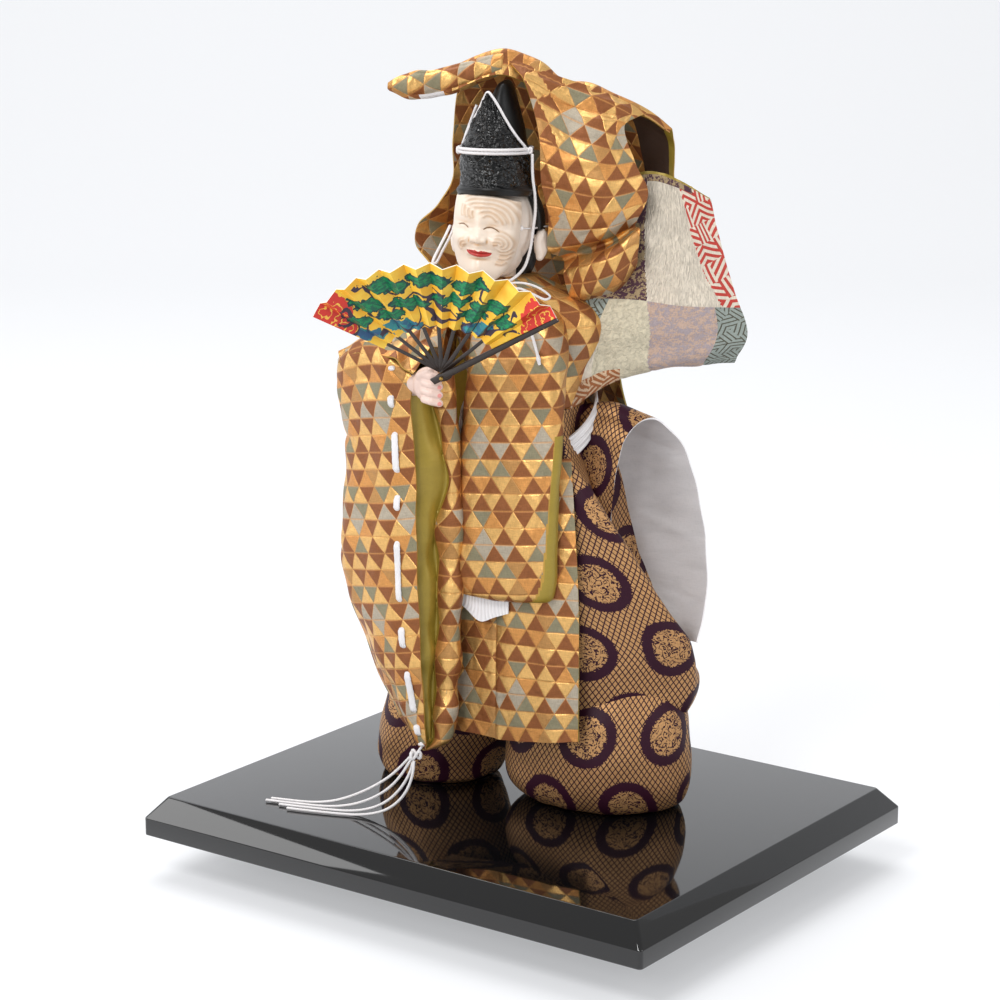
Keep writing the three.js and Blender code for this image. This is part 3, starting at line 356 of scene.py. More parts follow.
def applied(piece, kind, **values):
    """Adds a modifier and applies it."""
    modifier = piece.modifiers.new(kind.title(), kind)
    for name, value in values.items():
        setattr(modifier, name, value)
    only(piece)
    bpy.ops.object.modifier_apply(modifier=modifier.name)
    return piece


def new_piece(name, grid, materials, flat=None, paint=None, turned=False):
    """A smooth mesh piece from a net of points in metres.

    flat gives each point's place on the cloth in millimetres and paint the number of each face's material;
    a turned piece shows its other side.
    """
    rows, columns = grid.shape[:2]
    corners = (j * columns + i for j in range(rows - 1) for i in range(columns - 1))
    order = -1 if turned else 1
    faces = [(a, a + 1, a + 1 + columns, a + columns)[::order] for a in corners]
    mesh = bpy.data.meshes.new(name)
    mesh.from_pydata(grid.reshape(-1, 3).tolist(), [], faces)
    if flat is not None:
        layer = mesh.uv_layers.new(name="Cloth")
        corners = np.empty(len(mesh.loops), int)
        mesh.loops.foreach_get("vertex_index", corners)
        layer.data.foreach_set("uv", (flat.reshape(-1, 2)[corners] * MM).ravel())
    for material in materials:
        mesh.materials.append(material)
    if paint is not None:
        mesh.polygons.foreach_set("material_index", np.asarray(paint, int).ravel())
    mesh.shade_smooth()
    piece = bpy.data.objects.new(name, mesh)
    bpy.context.scene.collection.objects.link(piece)
    return piece


def merged(piece, distance=1e-6, outward=False):
    """Closes seams and poles by merging points that lie on each other."""
    mesh = bmesh.new()
    mesh.from_mesh(piece.data)
    bmesh.ops.remove_doubles(mesh, verts=mesh.verts, dist=distance)
    bmesh.ops.dissolve_degenerate(mesh, dist=distance, edges=mesh.edges)
    if outward:
        bmesh.ops.recalc_face_normals(mesh, faces=mesh.faces)
    mesh.to_mesh(piece.data)
    mesh.free()
    return piece


def cloth_piece(name, grid, side, thickness, outer, lining, rim, flat, place=doll, paint=None, inside=None,
                closed=False, crisp=50):
    """A sheet of lined cloth: the net is its outer side, and side is +1 or -1 for where its lining lies.

    outer is a material, or several of which paint names one for each face; inside does the same for the
    lining's side, where -1 stands for the lining itself.
    """
    outer = outer if isinstance(outer, list) else [outer]
    piece = new_piece(name, place(grid), outer + [lining, rim or lining], flat, paint, turned=side > 0)
    if closed:
        merged(piece)
    count = len(piece.data.polygons)
    applied(piece, "SOLIDIFY", thickness=thickness, offset=-1, use_quality_normals=True)
    for face in piece.data.polygons[count:]:
        face.material_index = len(outer) if face.index < 2 * count else len(outer) + 1
    if inside is not None:
        for k in np.flatnonzero(inside.ravel() >= 0):
            piece.data.polygons[count + int(k)].material_index = int(inside.ravel()[k])
    only(piece)
    bpy.ops.object.shade_smooth_by_angle(angle=math.radians(crisp))
    return piece


def closed_piece(name, grid, materials, flat, paint=None):
    """A closed form through a ring net, its two ends drawn together to poles."""
    ends = [np.broadcast_to(row.mean(axis=0), row.shape)[None] for row in (grid[0], grid[-1])]
    whole = np.concatenate([ends[0], grid, ends[1]])
    flat = np.concatenate([flat[:1], flat, flat[-1:]])
    if paint is not None:
        paint = np.concatenate([paint[:1], paint, paint[-1:]])
    return merged(new_piece(name, doll(whole), materials, flat, paint), outward=True)


def shares(grid):
    """How far each face of a net lies across and along it, as two arrays of shares from 0 to 1."""
    rows, columns = grid.shape[0] - 1, grid.shape[1] - 1
    return np.meshgrid((np.arange(columns) + 0.5) / columns, (np.arange(rows) + 0.5) / rows)


def on_net(flat, across, along_it):
    """The flat place of a point that lies at two shares of a net."""
    rows, columns = flat.shape[:2]
    return flat[int(round(along_it * (rows - 1))), int(round(across * (columns - 1)))]


def folds(flat, *lines):
    """Raised or sunk folds: from, to, width and height, with places as shares of the net."""
    total = np.zeros(flat.shape[:2])
    for start, end, width, height in lines:
        total += dent(flat, on_net(flat, *start), on_net(flat, *end), width, height)
    return total


def turned_flat(flat, degrees, shift=(0, 0)):
    """The cloth's places turned, so that its pattern runs across the piece as it was cut."""
    turn = math.radians(degrees)
    u = flat[..., 0] * math.cos(turn) - flat[..., 1] * math.sin(turn) + shift[0]
    v = flat[..., 0] * math.sin(turn) + flat[..., 1] * math.cos(turn) + shift[1]
    return np.stack([u, v], axis=-1)


def along(line):
    """How far each point of a line is from its start."""
    return np.concatenate([[0], np.cumsum(np.linalg.norm(np.diff(line, axis=0), axis=1))])


def even_line(points, spacing):
    """A smooth line through the points, at even spacing."""
    fine = spline(points, steps(40 * len(points)))
    far = along(fine)
    count = max(8, int(round(far[-1] / spacing)))
    at = np.linspace(0, far[-1], count + 1)
    return np.stack([np.interp(at, far, fine[:, k]) for k in range(3)], axis=-1)


def carried_frames(line, up=None):
    """Two directions across a line at each of its points, carried along without twisting."""
    ahead = np.gradient(line, axis=0)
    ahead /= np.maximum(np.linalg.norm(ahead, axis=1, keepdims=True), 1e-12)
    if up is not None:
        second = up - ahead * np.sum(up * ahead, axis=1, keepdims=True)
        second /= np.maximum(np.linalg.norm(second, axis=1, keepdims=True), 1e-12)
        return np.cross(ahead, second), second
    side = np.cross(ahead[0], (0.0, 0.0, 1.0))
    if np.linalg.norm(side) < 0.2:
        side = np.cross(ahead[0], (1.0, 0.0, 0.0))
    sides = []
    for direction in ahead:
        side = side - direction * np.dot(side, direction)
        side /= np.linalg.norm(side)
        sides.append(side)
    sides = np.array(sides)
    return sides, np.cross(sides, ahead)


# How far a strand runs along a cord in one turn, in widths of the cord
PLAIT_PITCH = 2.4


def cord_piece(name, line, width, material, height=None, up=None, closed=False, relief=0.06, sides=14,
               swell=1.0):
    """A plaited cord along a line of points in metres: a tube with the rise and fall of its strands."""
    line = np.asarray(line, float)
    first, second = carried_frames(line, up)
    far = along(line)
    angle = np.arange(sides + 1) / sides * math.tau
    turns = 2 * math.pi * far[:, None] / (PLAIT_PITCH * width)
    plait = np.cos(2 * angle + turns) * np.cos(2 * angle - turns)
    reach = (1 + relief * (2 * plait ** 2 - 1)) * np.broadcast_to(swell, len(line))[:, None]
    across = np.cos(angle) * reach * width / 2
    over = np.sin(angle) * reach * (height or width) / 2
    grid = line[:, None] + across[..., None] * first[:, None] + over[..., None] * second[:, None]
    flat = np.stack(np.broadcast_arrays(angle * width / 2, far[:, None]), axis=-1) / MM
    if closed:
        return merged(new_piece(name, grid, [material], flat), 2e-5, outward=True)
    caps = []
    for end, near, sign in ((0, 1, -1), (-1, -2, 1)):
        ahead = (line[near] - line[end]) * -sign
        tip = line[end] + ahead / np.linalg.norm(ahead) * sign * width * 0.22
        half = tip * 0.6 + line[end] * 0.4 + (grid[end] - line[end]) * 0.72
        caps.append([np.broadcast_to(tip, half.shape), half])
    whole = np.concatenate([caps[0], grid, caps[1][::-1]])
    flat = np.concatenate([flat[:1], flat[:1], flat, flat[-1:], flat[-1:]])
    return merged(new_piece(name, whole, [material], flat), outward=True)


def dress(piece, node):
    """The piece rides on the doll and stands for its node of the solids, which it hides."""
    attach(piece, "root")
    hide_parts(node)
    return piece


def joined(name, pieces):
    """Joins several pieces into the first one."""
    deselect()
    for piece in pieces:
        piece.select_set(True)
    bpy.context.view_layer.objects.active = pieces[0]
    bpy.ops.object.join()
    whole = pieces[0]
    whole.name = whole.data.name = name
    return whole


def settled(piece):
    """Puts a piece's place into its mesh, so that its object is at the origin."""
    only(piece)
    bpy.ops.object.transform_apply(location=True, rotation=True, scale=True)
    return piece


# Shader wiring


def feed(socket, value):
    """Sets a socket, or links it where its value comes out of another node."""
    if isinstance(value, Value):
        socket.id_data.links.new(value.socket, socket)
    else:
        socket.default_value = value


def new_node(tree, kind, *values, by_name=(), **options):
    """A shader node with its properties set, and its inputs fed in their order and by name."""
    node = tree.nodes.new("ShaderNode" + kind)
    for name, value in options.items():
        setattr(node, name, value)
    for socket, value in zip(node.inputs, values):
        feed(socket, value)
    for name, value in dict(by_name).items():
        feed(node.inputs[name], value)
    return node


class Value:
    """What comes out of a shader node; sums, products and comparisons of it are Math nodes."""

    def __init__(self, socket):
        self.socket = socket

    def node(self, kind, *values, output=0, **options):
        return Value(new_node(self.socket.id_data, kind, *values, **options).outputs[output])

    def math(self, operation, *others):
        return self.node("Math", self, *others, operation=operation)

    def __add__(self, other):
        return self.math("ADD", other)

    def __sub__(self, other):
        return self.math("SUBTRACT", other)

    def __rsub__(self, number):
        return self.node("Math", number, self, operation="SUBTRACT")

    def __mul__(self, other):
        return self.math("MULTIPLY", other)

    def __truediv__(self, other):
        return self.math("DIVIDE", other)

    def __rtruediv__(self, number):
        return self.node("Math", number, self, operation="DIVIDE")

    def __lt__(self, other):
        return self.math("LESS_THAN", other)

    def __gt__(self, other):
        return self.math("GREATER_THAN", other)

    def __abs__(self):
        return self.math("ABSOLUTE")

    def mixed(self, kind, data_type, first, second):
        node = new_node(self.socket.id_data, "Mix", data_type=data_type)
        sockets = {socket.identifier: socket for socket in (*node.inputs, *node.outputs)}
        for label, value in (("Factor_Float", self), ("A_" + kind, first), ("B_" + kind, second)):
            feed(sockets[label], value)
        return Value(sockets["Result_" + kind])

    def mix(self, first, second):
        """The colour between two others at this share."""
        return self.mixed("Color", "RGBA", first, second)

    def blend(self, first, second):
        """The number between two others at this share."""
        return self.mixed("Float", "FLOAT", first, second)

    def between(self, low, high, start=0.0, end=1.0):
        """A number that goes from low to high as this one goes from start to end."""
        return self.node("MapRange", self, start, end, low, high)

    def soft_step(self, start, end):
        """A soft change from 0 to 1 as this number goes from start to end."""
        return self.node("MapRange", self, start, end, interpolation_type="SMOOTHSTEP")

    def shade(self, colour):
        """A colour made lighter or darker by this number."""
        colour = colour if isinstance(colour, Value) else tuple(colour)[:3]
        return self.node("VectorMath", colour, operation="SCALE", by_name={"Scale": self})

    def steps(self, colours):
        """One of several colours by this share."""
        ramp_node = new_node(self.socket.id_data, "ValToRGB", self)
        ramp = ramp_node.color_ramp
        ramp.interpolation = "CONSTANT"
        while len(ramp.elements) < len(colours):
            ramp.elements.new(len(ramp.elements) / len(colours))
        for k, colour in enumerate(colours):
            ramp.elements[k].position = k / len(colours)
            ramp.elements[k].color = colour
        return Value(ramp_node.outputs[0])

    def noise(self, scale, detail=2.0, roughness=0.5, distortion=0.0, output="Fac"):
        shape = {"Scale": scale, "Detail": detail, "Roughness": roughness, "Distortion": distortion}
        return self.node("TexNoise", by_name={"Vector": self, **shape}, output=output)

    def cells(self, scale, output):
        return self.node("TexVoronoi", by_name={"Vector": self, "Scale": scale}, output=output)

    def stretch(self, scale, turn=0.0):
        """This place stretched and turned by plain numbers."""
        return self.node("Mapping", self, (0, 0, 0), (0, 0, turn), scale)

    def scaled(self, across, along_it):
        """This place with its two ways over the cloth stretched by values."""
        return self.node(
            "VectorMath", self, self.node("CombineXYZ", across, along_it, 1.0), operation="MULTIPLY",
        )

    def split(self):
        return [Value(socket) for socket in new_node(self.socket.id_data, "SeparateXYZ", self).outputs]


def new_group(name, **numbers):
    """A shader node group that is given a place and some numbers: its tree, then what it is given."""
    tree = bpy.data.node_groups.new(name, "ShaderNodeTree")
    tree.interface.new_socket("Place", in_out="INPUT", socket_type="NodeSocketVector")
    for label, number in numbers.items():
        socket = tree.interface.new_socket(label, in_out="INPUT", socket_type="NodeSocketFloat")
        socket.default_value = number
    given = tree.nodes.new("NodeGroupInput").outputs
    return tree, *(Value(given[label]) for label in ("Place", *numbers))


def put_out(tree, **values):
    """Makes a group put out colours and numbers by their names, and returns the group."""
    for label in values:
        kind = "Color" if label == "Color" else "Float"
        tree.interface.new_socket(label, in_out="OUTPUT", socket_type="NodeSocket" + kind)
    result = tree.nodes.new("NodeGroupOutput").inputs
    for label, value in values.items():
        feed(result[label], value)
    return tree


@functools.cache
def finish(build):
    """A material or a shared effect, built when it is first asked for."""
    return build()


class Paint:
    """A material with one Principled BSDF; plain values are set on its sockets by name."""

    def __init__(self, name, **plain):
        self.material = bpy.data.materials.new(name)
        self.material.use_nodes = True
        self.tree = self.material.node_tree
        self.sockets = self.tree.nodes["Principled BSDF"].inputs
        for label, value in plain.items():
            self.sockets[label.replace("_", " ")].default_value = value

    def on_cloth(self):
        return Value(new_node(self.tree, "UVMap", uv_map="Cloth").outputs[0])

    def in_space(self):
        return Value(new_node(self.tree, "TexCoord").outputs["Object"])

    def attribute(self, name):
        return Value(new_node(self.tree, "Attribute", attribute_name=name).outputs["Fac"])

    def group(self, build, place, **numbers):
        """Places a shared effect with its own numbers, and returns what it puts out by name."""
        node = self.tree.nodes.new("ShaderNodeGroup")
        node.node_tree = finish(build)
        for name, value in {"Place": place, **numbers}.items():
            feed(node.inputs[name], value)
        return {socket.name: Value(socket) for socket in node.outputs}

    def wired(self, height=None, depth=0.0, strength=1.0, **values):
        """Feeds the shader's sockets by name and its bump, and returns the material."""
        for label, value in values.items():
            feed(self.sockets[label.replace("_", " ")], value)
        if height is not None:
            bump = new_node(
                self.tree, "Bump", by_name={"Distance": depth, "Strength": strength, "Height": height},
            )
            feed(self.sockets["Normal"], Value(bump.outputs[0]))
        return self.material


# Effects that several materials share


def woven_threads():
    """Fine crossing threads on flat cloth: a height for the bump and a streaky tone for the colour."""
    tree, place, thread = new_group("Woven threads", Thread=0.0007)
    warp, weft = ((side / thread * math.tau).math("SINE") for side in place.split()[:2])
    streaks = (place.stretch((260, 1500, 1)).noise(1) + place.stretch((1500, 260, 1)).noise(1)) * 0.5
    return put_out(tree, Height=warp * weft * 0.5 + 0.5, Tone=streaks.between(0.84, 1.14, 0.35, 0.65))


# Colours of six rows of triangles: pointing down, pointing up, and what some of each are instead
TRIANGLE_ROWS = (
    ("gold", "gold", "copper", "copper"),
    ("amber", "gold", "copper", "tan"),
    ("gold", "tan", "sage", "copper"),
    ("grey", "gold", "copper", "sage"),
    ("gold", "amber", "copper", "grey"),
    ("copper", "sage", "gold", "amber"),
)
THREAD_METAL = {"gold": 0.85, "amber": 0.7, "copper": 0.4, "tan": 0.5, "sage": 0.12, "grey": 0.2}


def triangle_brocade():
    """Rows of woven triangles with their colours by row and place, each a little raised."""
    tree, place, base, row_height = new_group("Triangle brocade", Base=0.0146, Row=0.0124)
    x, y, _ = place.split()
    row = (y / row_height).math("FLOOR")
    height = y / row_height - row
    shifted = row * 0.5 + x / base
    column = shifted.math("FLOOR")
    slant = 1 - height - abs(shifted - column - 0.5) * 2
    points_up = slant > 0
    own_column = points_up.blend((shifted + 0.5).math("FLOOR"), column)
    now_and_then = (row * 2 + own_column).math("FLOORED_MODULO", 3) < 0.5
    code = row.math("FLOORED_MODULO", 6) * 4 + points_up * 2 + now_and_then
    share = (code + 0.5) / 24
    threads = {name: tuple(getattr(settings().brocade, name)) for name in THREAD_METAL}
    names = [name for row_names in TRIANGLE_ROWS for name in row_names]
    raised = abs(slant).math("MINIMUM", height.math("MINIMUM", 1 - height)).soft_step(0, 0.09)
    tint = raised.between(0.55, 0).mix(share.steps([threads[name] for name in names]), threads["amber"])
    metal = share.steps([(THREAD_METAL[name],) * 3 + (1.0,) for name in names])
    return put_out(tree, Color=tint, Metal=metal, Height=raised)


def roundel_brocade():
    """A lozenge lattice with ringed roundels in staggered rows: colour, metal share and height."""
    hakama = settings().hakama
    tree, place, lozenge, radius, ring, spacing = new_group(
        "Roundel brocade", Lozenge=0.0046, Radius=0.0235, Ring=0.0078, Spacing=0.066,
    )
    x, y, _ = place.split()

    def squared(value, period, shift):
        turns = value / period + shift
        off = (turns - turns.math("ROUND")) * period
        return off * off

    across, down = x / lozenge, y / (lozenge * 1.35)
    rising, falling = (abs(line - line.math("ROUND")) for line in (across + down, across - down))
    lattice = 1 - rising.math("MINIMUM", falling).soft_step(0.075, 0.15)
    first, second = (
        (squared(x, spacing, shift) + squared(y, spacing * 1.72, shift)).math("SQRT") for shift in (
            0.0, 0.5,
        )
    )
    from_centre = first.math("MINIMUM", second) + (place.noise(900, 1) - 0.5) * 0.0045
    inside = from_centre < radius
    disc = from_centre < radius - ring
    curls = (place.noise(190, 1, 0.4, 1.2) * 3.4 + from_centre * 170).math("FRACT") < 0.36
    purple = (lattice * (1 - inside)).math("MAXIMUM", inside - disc).math("MAXIMUM", curls * disc)
    ground = place.noise(700).mix(tuple(hakama.gold), linear("a27a50"))
    tint = purple.mix(ground, tuple(hakama.purple))
    return put_out(tree, Color=tint, Metal=(1 - purple) * 0.5, Height=1 - purple * 0.7)


def crepe_grain():
    """The uneven crinkle of crepe: a height, and a tone that is painted shade, darker in the hollows of the
    crinkle; Grain is the width of one crinkle.
    """
    tree, place, grain, run = new_group("Crepe grain", Grain=0.0016, Length=3.0)
    scale = 1 / grain
    crinkle = place.scaled(scale, scale / run).noise(1, 2, 0.55, 0.9)
    # Painted shade: the tone darkens where the crinkle sinks
    return put_out(tree, Height=crinkle, Tone=crinkle.between(0.74, 1.14, 0.32, 0.68))


def soft_creases():
    """Soft creases over a plain cloth, and slow changes of tone that follow them: painted shade, darker in
    the hollows of the creases.
    """
    tree, place, size = new_group("Soft creases", Size=0.03)
    scale = 1 / size
    crease = place.scaled(scale, scale * 2.4).noise(1, 3, 0.5, 0.4)
    # The tone is painted shade: it falls where the creases sink
    return put_out(tree, Height=crease, Tone=crease.between(0.86, 1.12))


# Materials


def brocade_material():
    sizes = settings().brocade
    paint = Paint("Triangle brocade", Specular_IOR_Level=0.4)
    place = paint.on_cloth()
    pattern = paint.group(triangle_brocade, place, Base=sizes.base, Row=sizes.row)
    threads = paint.group(woven_threads, place, Thread=0.0008)
    return paint.wired(
        Base_Color=threads["Tone"].shade(pattern["Color"]), Metallic=pattern["Metal"],
        Roughness=pattern["Metal"] * -0.26 + 0.6,
        height=threads["Height"] * 0.22 + pattern["Height"] + place.noise(130, 1) * 5.5, depth=0.00024,
        strength=0.9,
    )


def satin(name, tint, rough, metal):
    paint = Paint(name, Roughness=rough, Metallic=metal, Specular_IOR_Level=0.5)
    place = paint.on_cloth()
    creases = paint.group(soft_creases, place, Size=0.022)
    threads = paint.group(woven_threads, place, Thread=0.0006)
    # The creases' tone is painted shade in their hollows; the threads' tone varies at random
    tone = creases["Tone"] * threads["Tone"].between(0.55, 1.05)
    height = threads["Height"] * 0.02 + creases["Height"]
    return paint.wired(Base_Color=tone.shade(tint), height=height, depth=0.0016, strength=0.35)


def lining_material():
    return satin("Olive satin", settings().brocade.lining, 0.42, 0.25)


# Painted shade: a dark brown satin for where the raised sleeve's inside lies deep in shadow, not a cloth of
# its own
def painted_shade_lining_material():
    return satin("Brown lining", linear("3a2416"), 0.6, 0.0)


def wing_lining_material():
    return satin("Pale lining", settings().hakama.lining, 0.5, 0.0)


def white_edge_material():
    return satin("White edge", settings().cords.white, 0.5, 0.0)


def piping_material():
    return satin("Gold piping", linear("b08a3c"), 0.4, 0.45)


def roundel_material():
    sizes = settings().hakama
    paint = Paint("Roundel brocade", Roughness=0.5, Specular_IOR_Level=0.2)
    place = paint.on_cloth()
    pattern = paint.group(
        roundel_brocade, place, Lozenge=sizes.lozenge, Radius=sizes.roundel, Ring=sizes.ring,
        Spacing=sizes.spacing,
    )
    threads = paint.group(woven_threads, place, Thread=0.0007)
    return paint.wired(
        Base_Color=threads["Tone"].shade(pattern["Color"]), Metallic=pattern["Metal"],
        height=threads["Height"] * 0.25 + pattern["Height"], depth=0.0002, strength=0.6,
    )


def white_silk_material():
    """Ribbed white silk of the sash, with painted shade: each rib a little darker in its hollow"""
    paint = Paint("White ribbed silk", Roughness=0.5)
    place = paint.on_cloth()
    ribs = (place.split()[0] * (2 * math.pi / 0.0024)).math("SINE")
    creases = paint.group(soft_creases, place, Size=0.02)
    return paint.wired(
        # Painted shade: the colour dips a little in the hollows of the ribs
        Base_Color=(ribs * 0.05 + 0.93).shade(settings().cords.white),
        height=ribs * 0.5 + creases["Height"],
        depth=0.0004, strength=0.8,
    )


def cord_material():
    """Smooth plaited white silk cord, with painted shade: a little grey in the grooves between its strands
    """
    paint = Paint("White silk cord", Roughness=0.48)
    around, down, _ = paint.on_cloth().split()
    first, other = ((way * (2 * math.pi / 0.0009)).math("SINE") for way in (around + down, down - around))
    strands = first * other
    # Painted shade: the colour dips a little where the strands sink
    tint = (strands * 0.04 + 0.95).shade(settings().cords.white)
    return paint.wired(Base_Color=tint, height=strands, depth=0.00012, strength=0.8)


def lacquer_material():
    """Deep black lacquer with a faint unevenness in its gloss"""
    tint = tuple(settings().plinth.lacquer)
    paint = Paint("Black lacquer", Base_Color=tint, Coat_Weight=0.4, Coat_Roughness=0.02)
    return paint.wired(Roughness=paint.in_space().noise(6, 4, 0.6).between(0.02, 0.08))


def crepe(name, tint, grain, stretch, depth):
    """Crepe of one colour"""
    paint = Paint(name, Roughness=0.8)
    crinkle = paint.group(crepe_grain, paint.on_cloth(), Grain=grain, Length=stretch)
    return paint.wired(
        Base_Color=crinkle["Tone"].shade(tint), height=crinkle["Height"], depth=depth, strength=0.9,
    )


def cream_crepe():
    return crepe("Cream crepe", settings().patchwork.cream, 0.0014, 4.0, 0.0026)


def beige_crepe():
    return crepe("Beige crepe", settings().patchwork.beige, 0.0021, 1.4, 0.0016)


def figured(paint, place, mask, thread, ground, figure):
    """A woven ground with raised figures of another colour where a mask is 1"""
    threads = paint.group(woven_threads, place, Thread=thread)
    tint = threads["Tone"].shade(mask.mix(tuple(ground), tuple(figure)))
    return paint.wired(Base_Color=tint, height=threads["Height"] + mask, depth=0.0003, strength=0.7)


def flecked(name, ground, fleck, size, share):
    """A ground with woven flecks of another colour"""
    paint = Paint(name, Roughness=0.75)
    place = paint.on_cloth()
    flecks = place.noise(1 / size, 3, 0.62, 0.8)
    sprigs = place.noise(0.28 / size, 1, 0.4, 0.6)
    mask = (sprigs * 0.5 + flecks * 0.75).soft_step(share, share + 0.035)
    return figured(paint, place, mask, 0.0009, ground, fleck)


def lilac_cloth():
    return flecked("Lilac cloth", settings().patchwork.lilac, settings().patchwork.peach, 0.0013, 0.605)


def plum_cloth():
    return flecked("Plum cloth", settings().patchwork.plum, linear("a08a68"), 0.0022, 0.62)


def key_cloth(name, ground, line, size, turn, thick):
    """Woven key lines: three hatched faces that meet as a hexagon's, in one colour on another"""
    paint = Paint(name, Roughness=0.7)
    place = paint.on_cloth()
    x, y, _ = place.stretch((1 / size, 1 / size, 1), turn).split()
    which = (x.math("FLOOR") + y.math("FLOOR") * 2).math("FLOORED_MODULO", 3)
    hatches = [
        ((x * math.cos(angle) + y * math.sin(angle)) * 3).math("FRACT")
        for angle in (0.0, math.radians(60), math.radians(120))
    ]
    chosen = (which < 0.5).blend((which < 1.5).blend(hatches[2], hatches[1]), hatches[0])
    return figured(paint, place, chosen < thick, 0.0008, ground, line)


def red_key_cloth():
    return key_cloth(
        "Red key cloth", settings().patchwork.cream, settings().patchwork.red, 0.0145, 0.4, 0.5,
    )


def rust_key_cloth():
    return key_cloth("Rust key cloth", linear("c8ab8c"), settings().patchwork.rust, 0.0088, 0.9, 0.55)


def sage_fret_cloth():
    return key_cloth("Sage fret cloth", settings().patchwork.sage, linear("4a473a"), 0.009, 0.78, 0.3)


def face_material():
    """Ground shell paint: matt white with the faintest mottling"""
    paint = Paint("White shell paint", Roughness=0.42, Coat_Weight=0.15, Coat_Roughness=0.3)
    place = paint.in_space()
    tint = place.noise(90, 3).between(0.94, 1.06).shade(settings().head.face)
    return paint.wired(Base_Color=tint, height=place.noise(900), depth=0.00006, strength=0.5)


def mask_material():
    """Ivory paint, warm in the wrinkles, with red lips and dark eye slits"""
    colours = settings().head
    paint = Paint("Mask ivory", Coat_Weight=0.25, Coat_Roughness=0.25)
    place = paint.in_space()
    warm = place.noise(110, 3) * 0.25 + paint.attribute("groove")
    tint = warm.soft_step(0.12, 1.25).mix(tuple(colours.ivory), tuple(colours.groove))
    tint = paint.attribute("lips").soft_step(0.35, 0.6).mix(tint, tuple(colours.lips))
    tint = paint.attribute("slit").soft_step(0.4, 0.75).mix(tint, linear("8a6c50"))
    rough = place.noise(60).between(0.3, 0.46)
    return paint.wired(
        Base_Color=tint, Roughness=rough, height=place.noise(1200), depth=0.00005, strength=0.5,
    )


def hand_material():
    """Pale skin with pink nails"""
    colours = settings().head
    paint = Paint("Pale hand", Roughness=0.4, Coat_Weight=0.2, Coat_Roughness=0.25)
    place = paint.in_space()
    tint = place.noise(120).between(0, 0.35).mix(tuple(colours.hand), linear("cfa99c"))
    tint = paint.attribute("nail").soft_step(0.35, 0.65).mix(tint, tuple(colours.nail))
    return paint.wired(Base_Color=tint, height=place.noise(900), depth=0.00005, strength=0.5)


def hair_material():
    """Black hair in fine strands"""
    paint = Paint("Black hair", Base_Color=tuple(settings().head.hair))
    strands = paint.in_space().stretch((1600, 1600, 90)).noise(1, 3, 0.6)
    return paint.wired(Roughness=strands.between(0.3, 0.55), height=strands, depth=0.0004, strength=0.8)


def smooth_hat_material():
    """Plain black lacquered paper"""
    paint = Paint("Smooth hat", Base_Color=tuple(settings().head.hat), Specular_IOR_Level=0.35)
    place = paint.in_space()
    rough = place.noise(70, 3).between(0.3, 0.5)
    return paint.wired(Roughness=rough, height=place.noise(260, 3), depth=0.0004, strength=0.35)


def crinkled_hat_material():
    """Black lacquer over crinkled paper"""
    tint = tuple(settings().head.hat)
    paint = Paint("Crinkled hat", Base_Color=tint, Roughness=0.08, Specular_IOR_Level=0.4)
    place = paint.in_space()
    creases = place.stretch((1, 1, 1.4)).cells(300, "Distance")
    folded = place.stretch((1, 1, 1.5)).noise(230, 2, 0.5, 1.0)
    return paint.wired(height=creases * 0.7 + folded, depth=0.0012)


def bamboo_material():
    """Dark bamboo with its long grain"""
    paint = Paint("Dark bamboo", Coat_Weight=0.3, Coat_Roughness=0.2)
    grain = paint.in_space().stretch((900, 900, 120)).noise(1, 3)
    tint = grain.mix(tuple(settings().fan.bamboo), linear("2f211a"))
    return paint.wired(
        Base_Color=tint, Roughness=grain.between(0.3, 0.5), height=grain, depth=0.0002, strength=0.5,
    )


def brass_material():
    paint = Paint("Brass", Base_Color=tuple(settings().fan.brass), Metallic=1.0)
    return paint.wired(Roughness=paint.in_space().noise(2500).between(0.25, 0.5))


# The fan's painting: pine crowns, rocks and clouds as ovals on the leaf, in shares of its radius
PINE_CROWNS = (
    (-0.46, 0.64, 0.14, 0.06), (-0.30, 0.82, 0.15, 0.065), (-0.16, 0.67, 0.14, 0.06),
    (-0.02, 0.88, 0.16, 0.06),
    (0.12, 0.70, 0.14, 0.055), (0.26, 0.82, 0.14, 0.06), (0.38, 0.64, 0.14, 0.055),
    (0.46, 0.50, 0.10, 0.045),
    (-0.52, 0.50, 0.10, 0.045), (-0.30, 0.56, 0.11, 0.045), (0.26, 0.56, 0.11, 0.045),
)
ROCKS = ((-0.22, 0.46, 0.13, 0.06), (0.28, 0.44, 0.12, 0.06), (-0.44, 0.38, 0.10, 0.05))
CLOUDS = (
    (-0.75, 0.56, 0.19, 0.17), (-0.70, 0.40, 0.15, 0.14), (0.76, 0.54, 0.18, 0.19),
    (0.70, 0.40, 0.13, 0.12), (-0.42, 0.98, 0.12, 0.06), (0.44, 0.97, 0.12, 0.05),
)


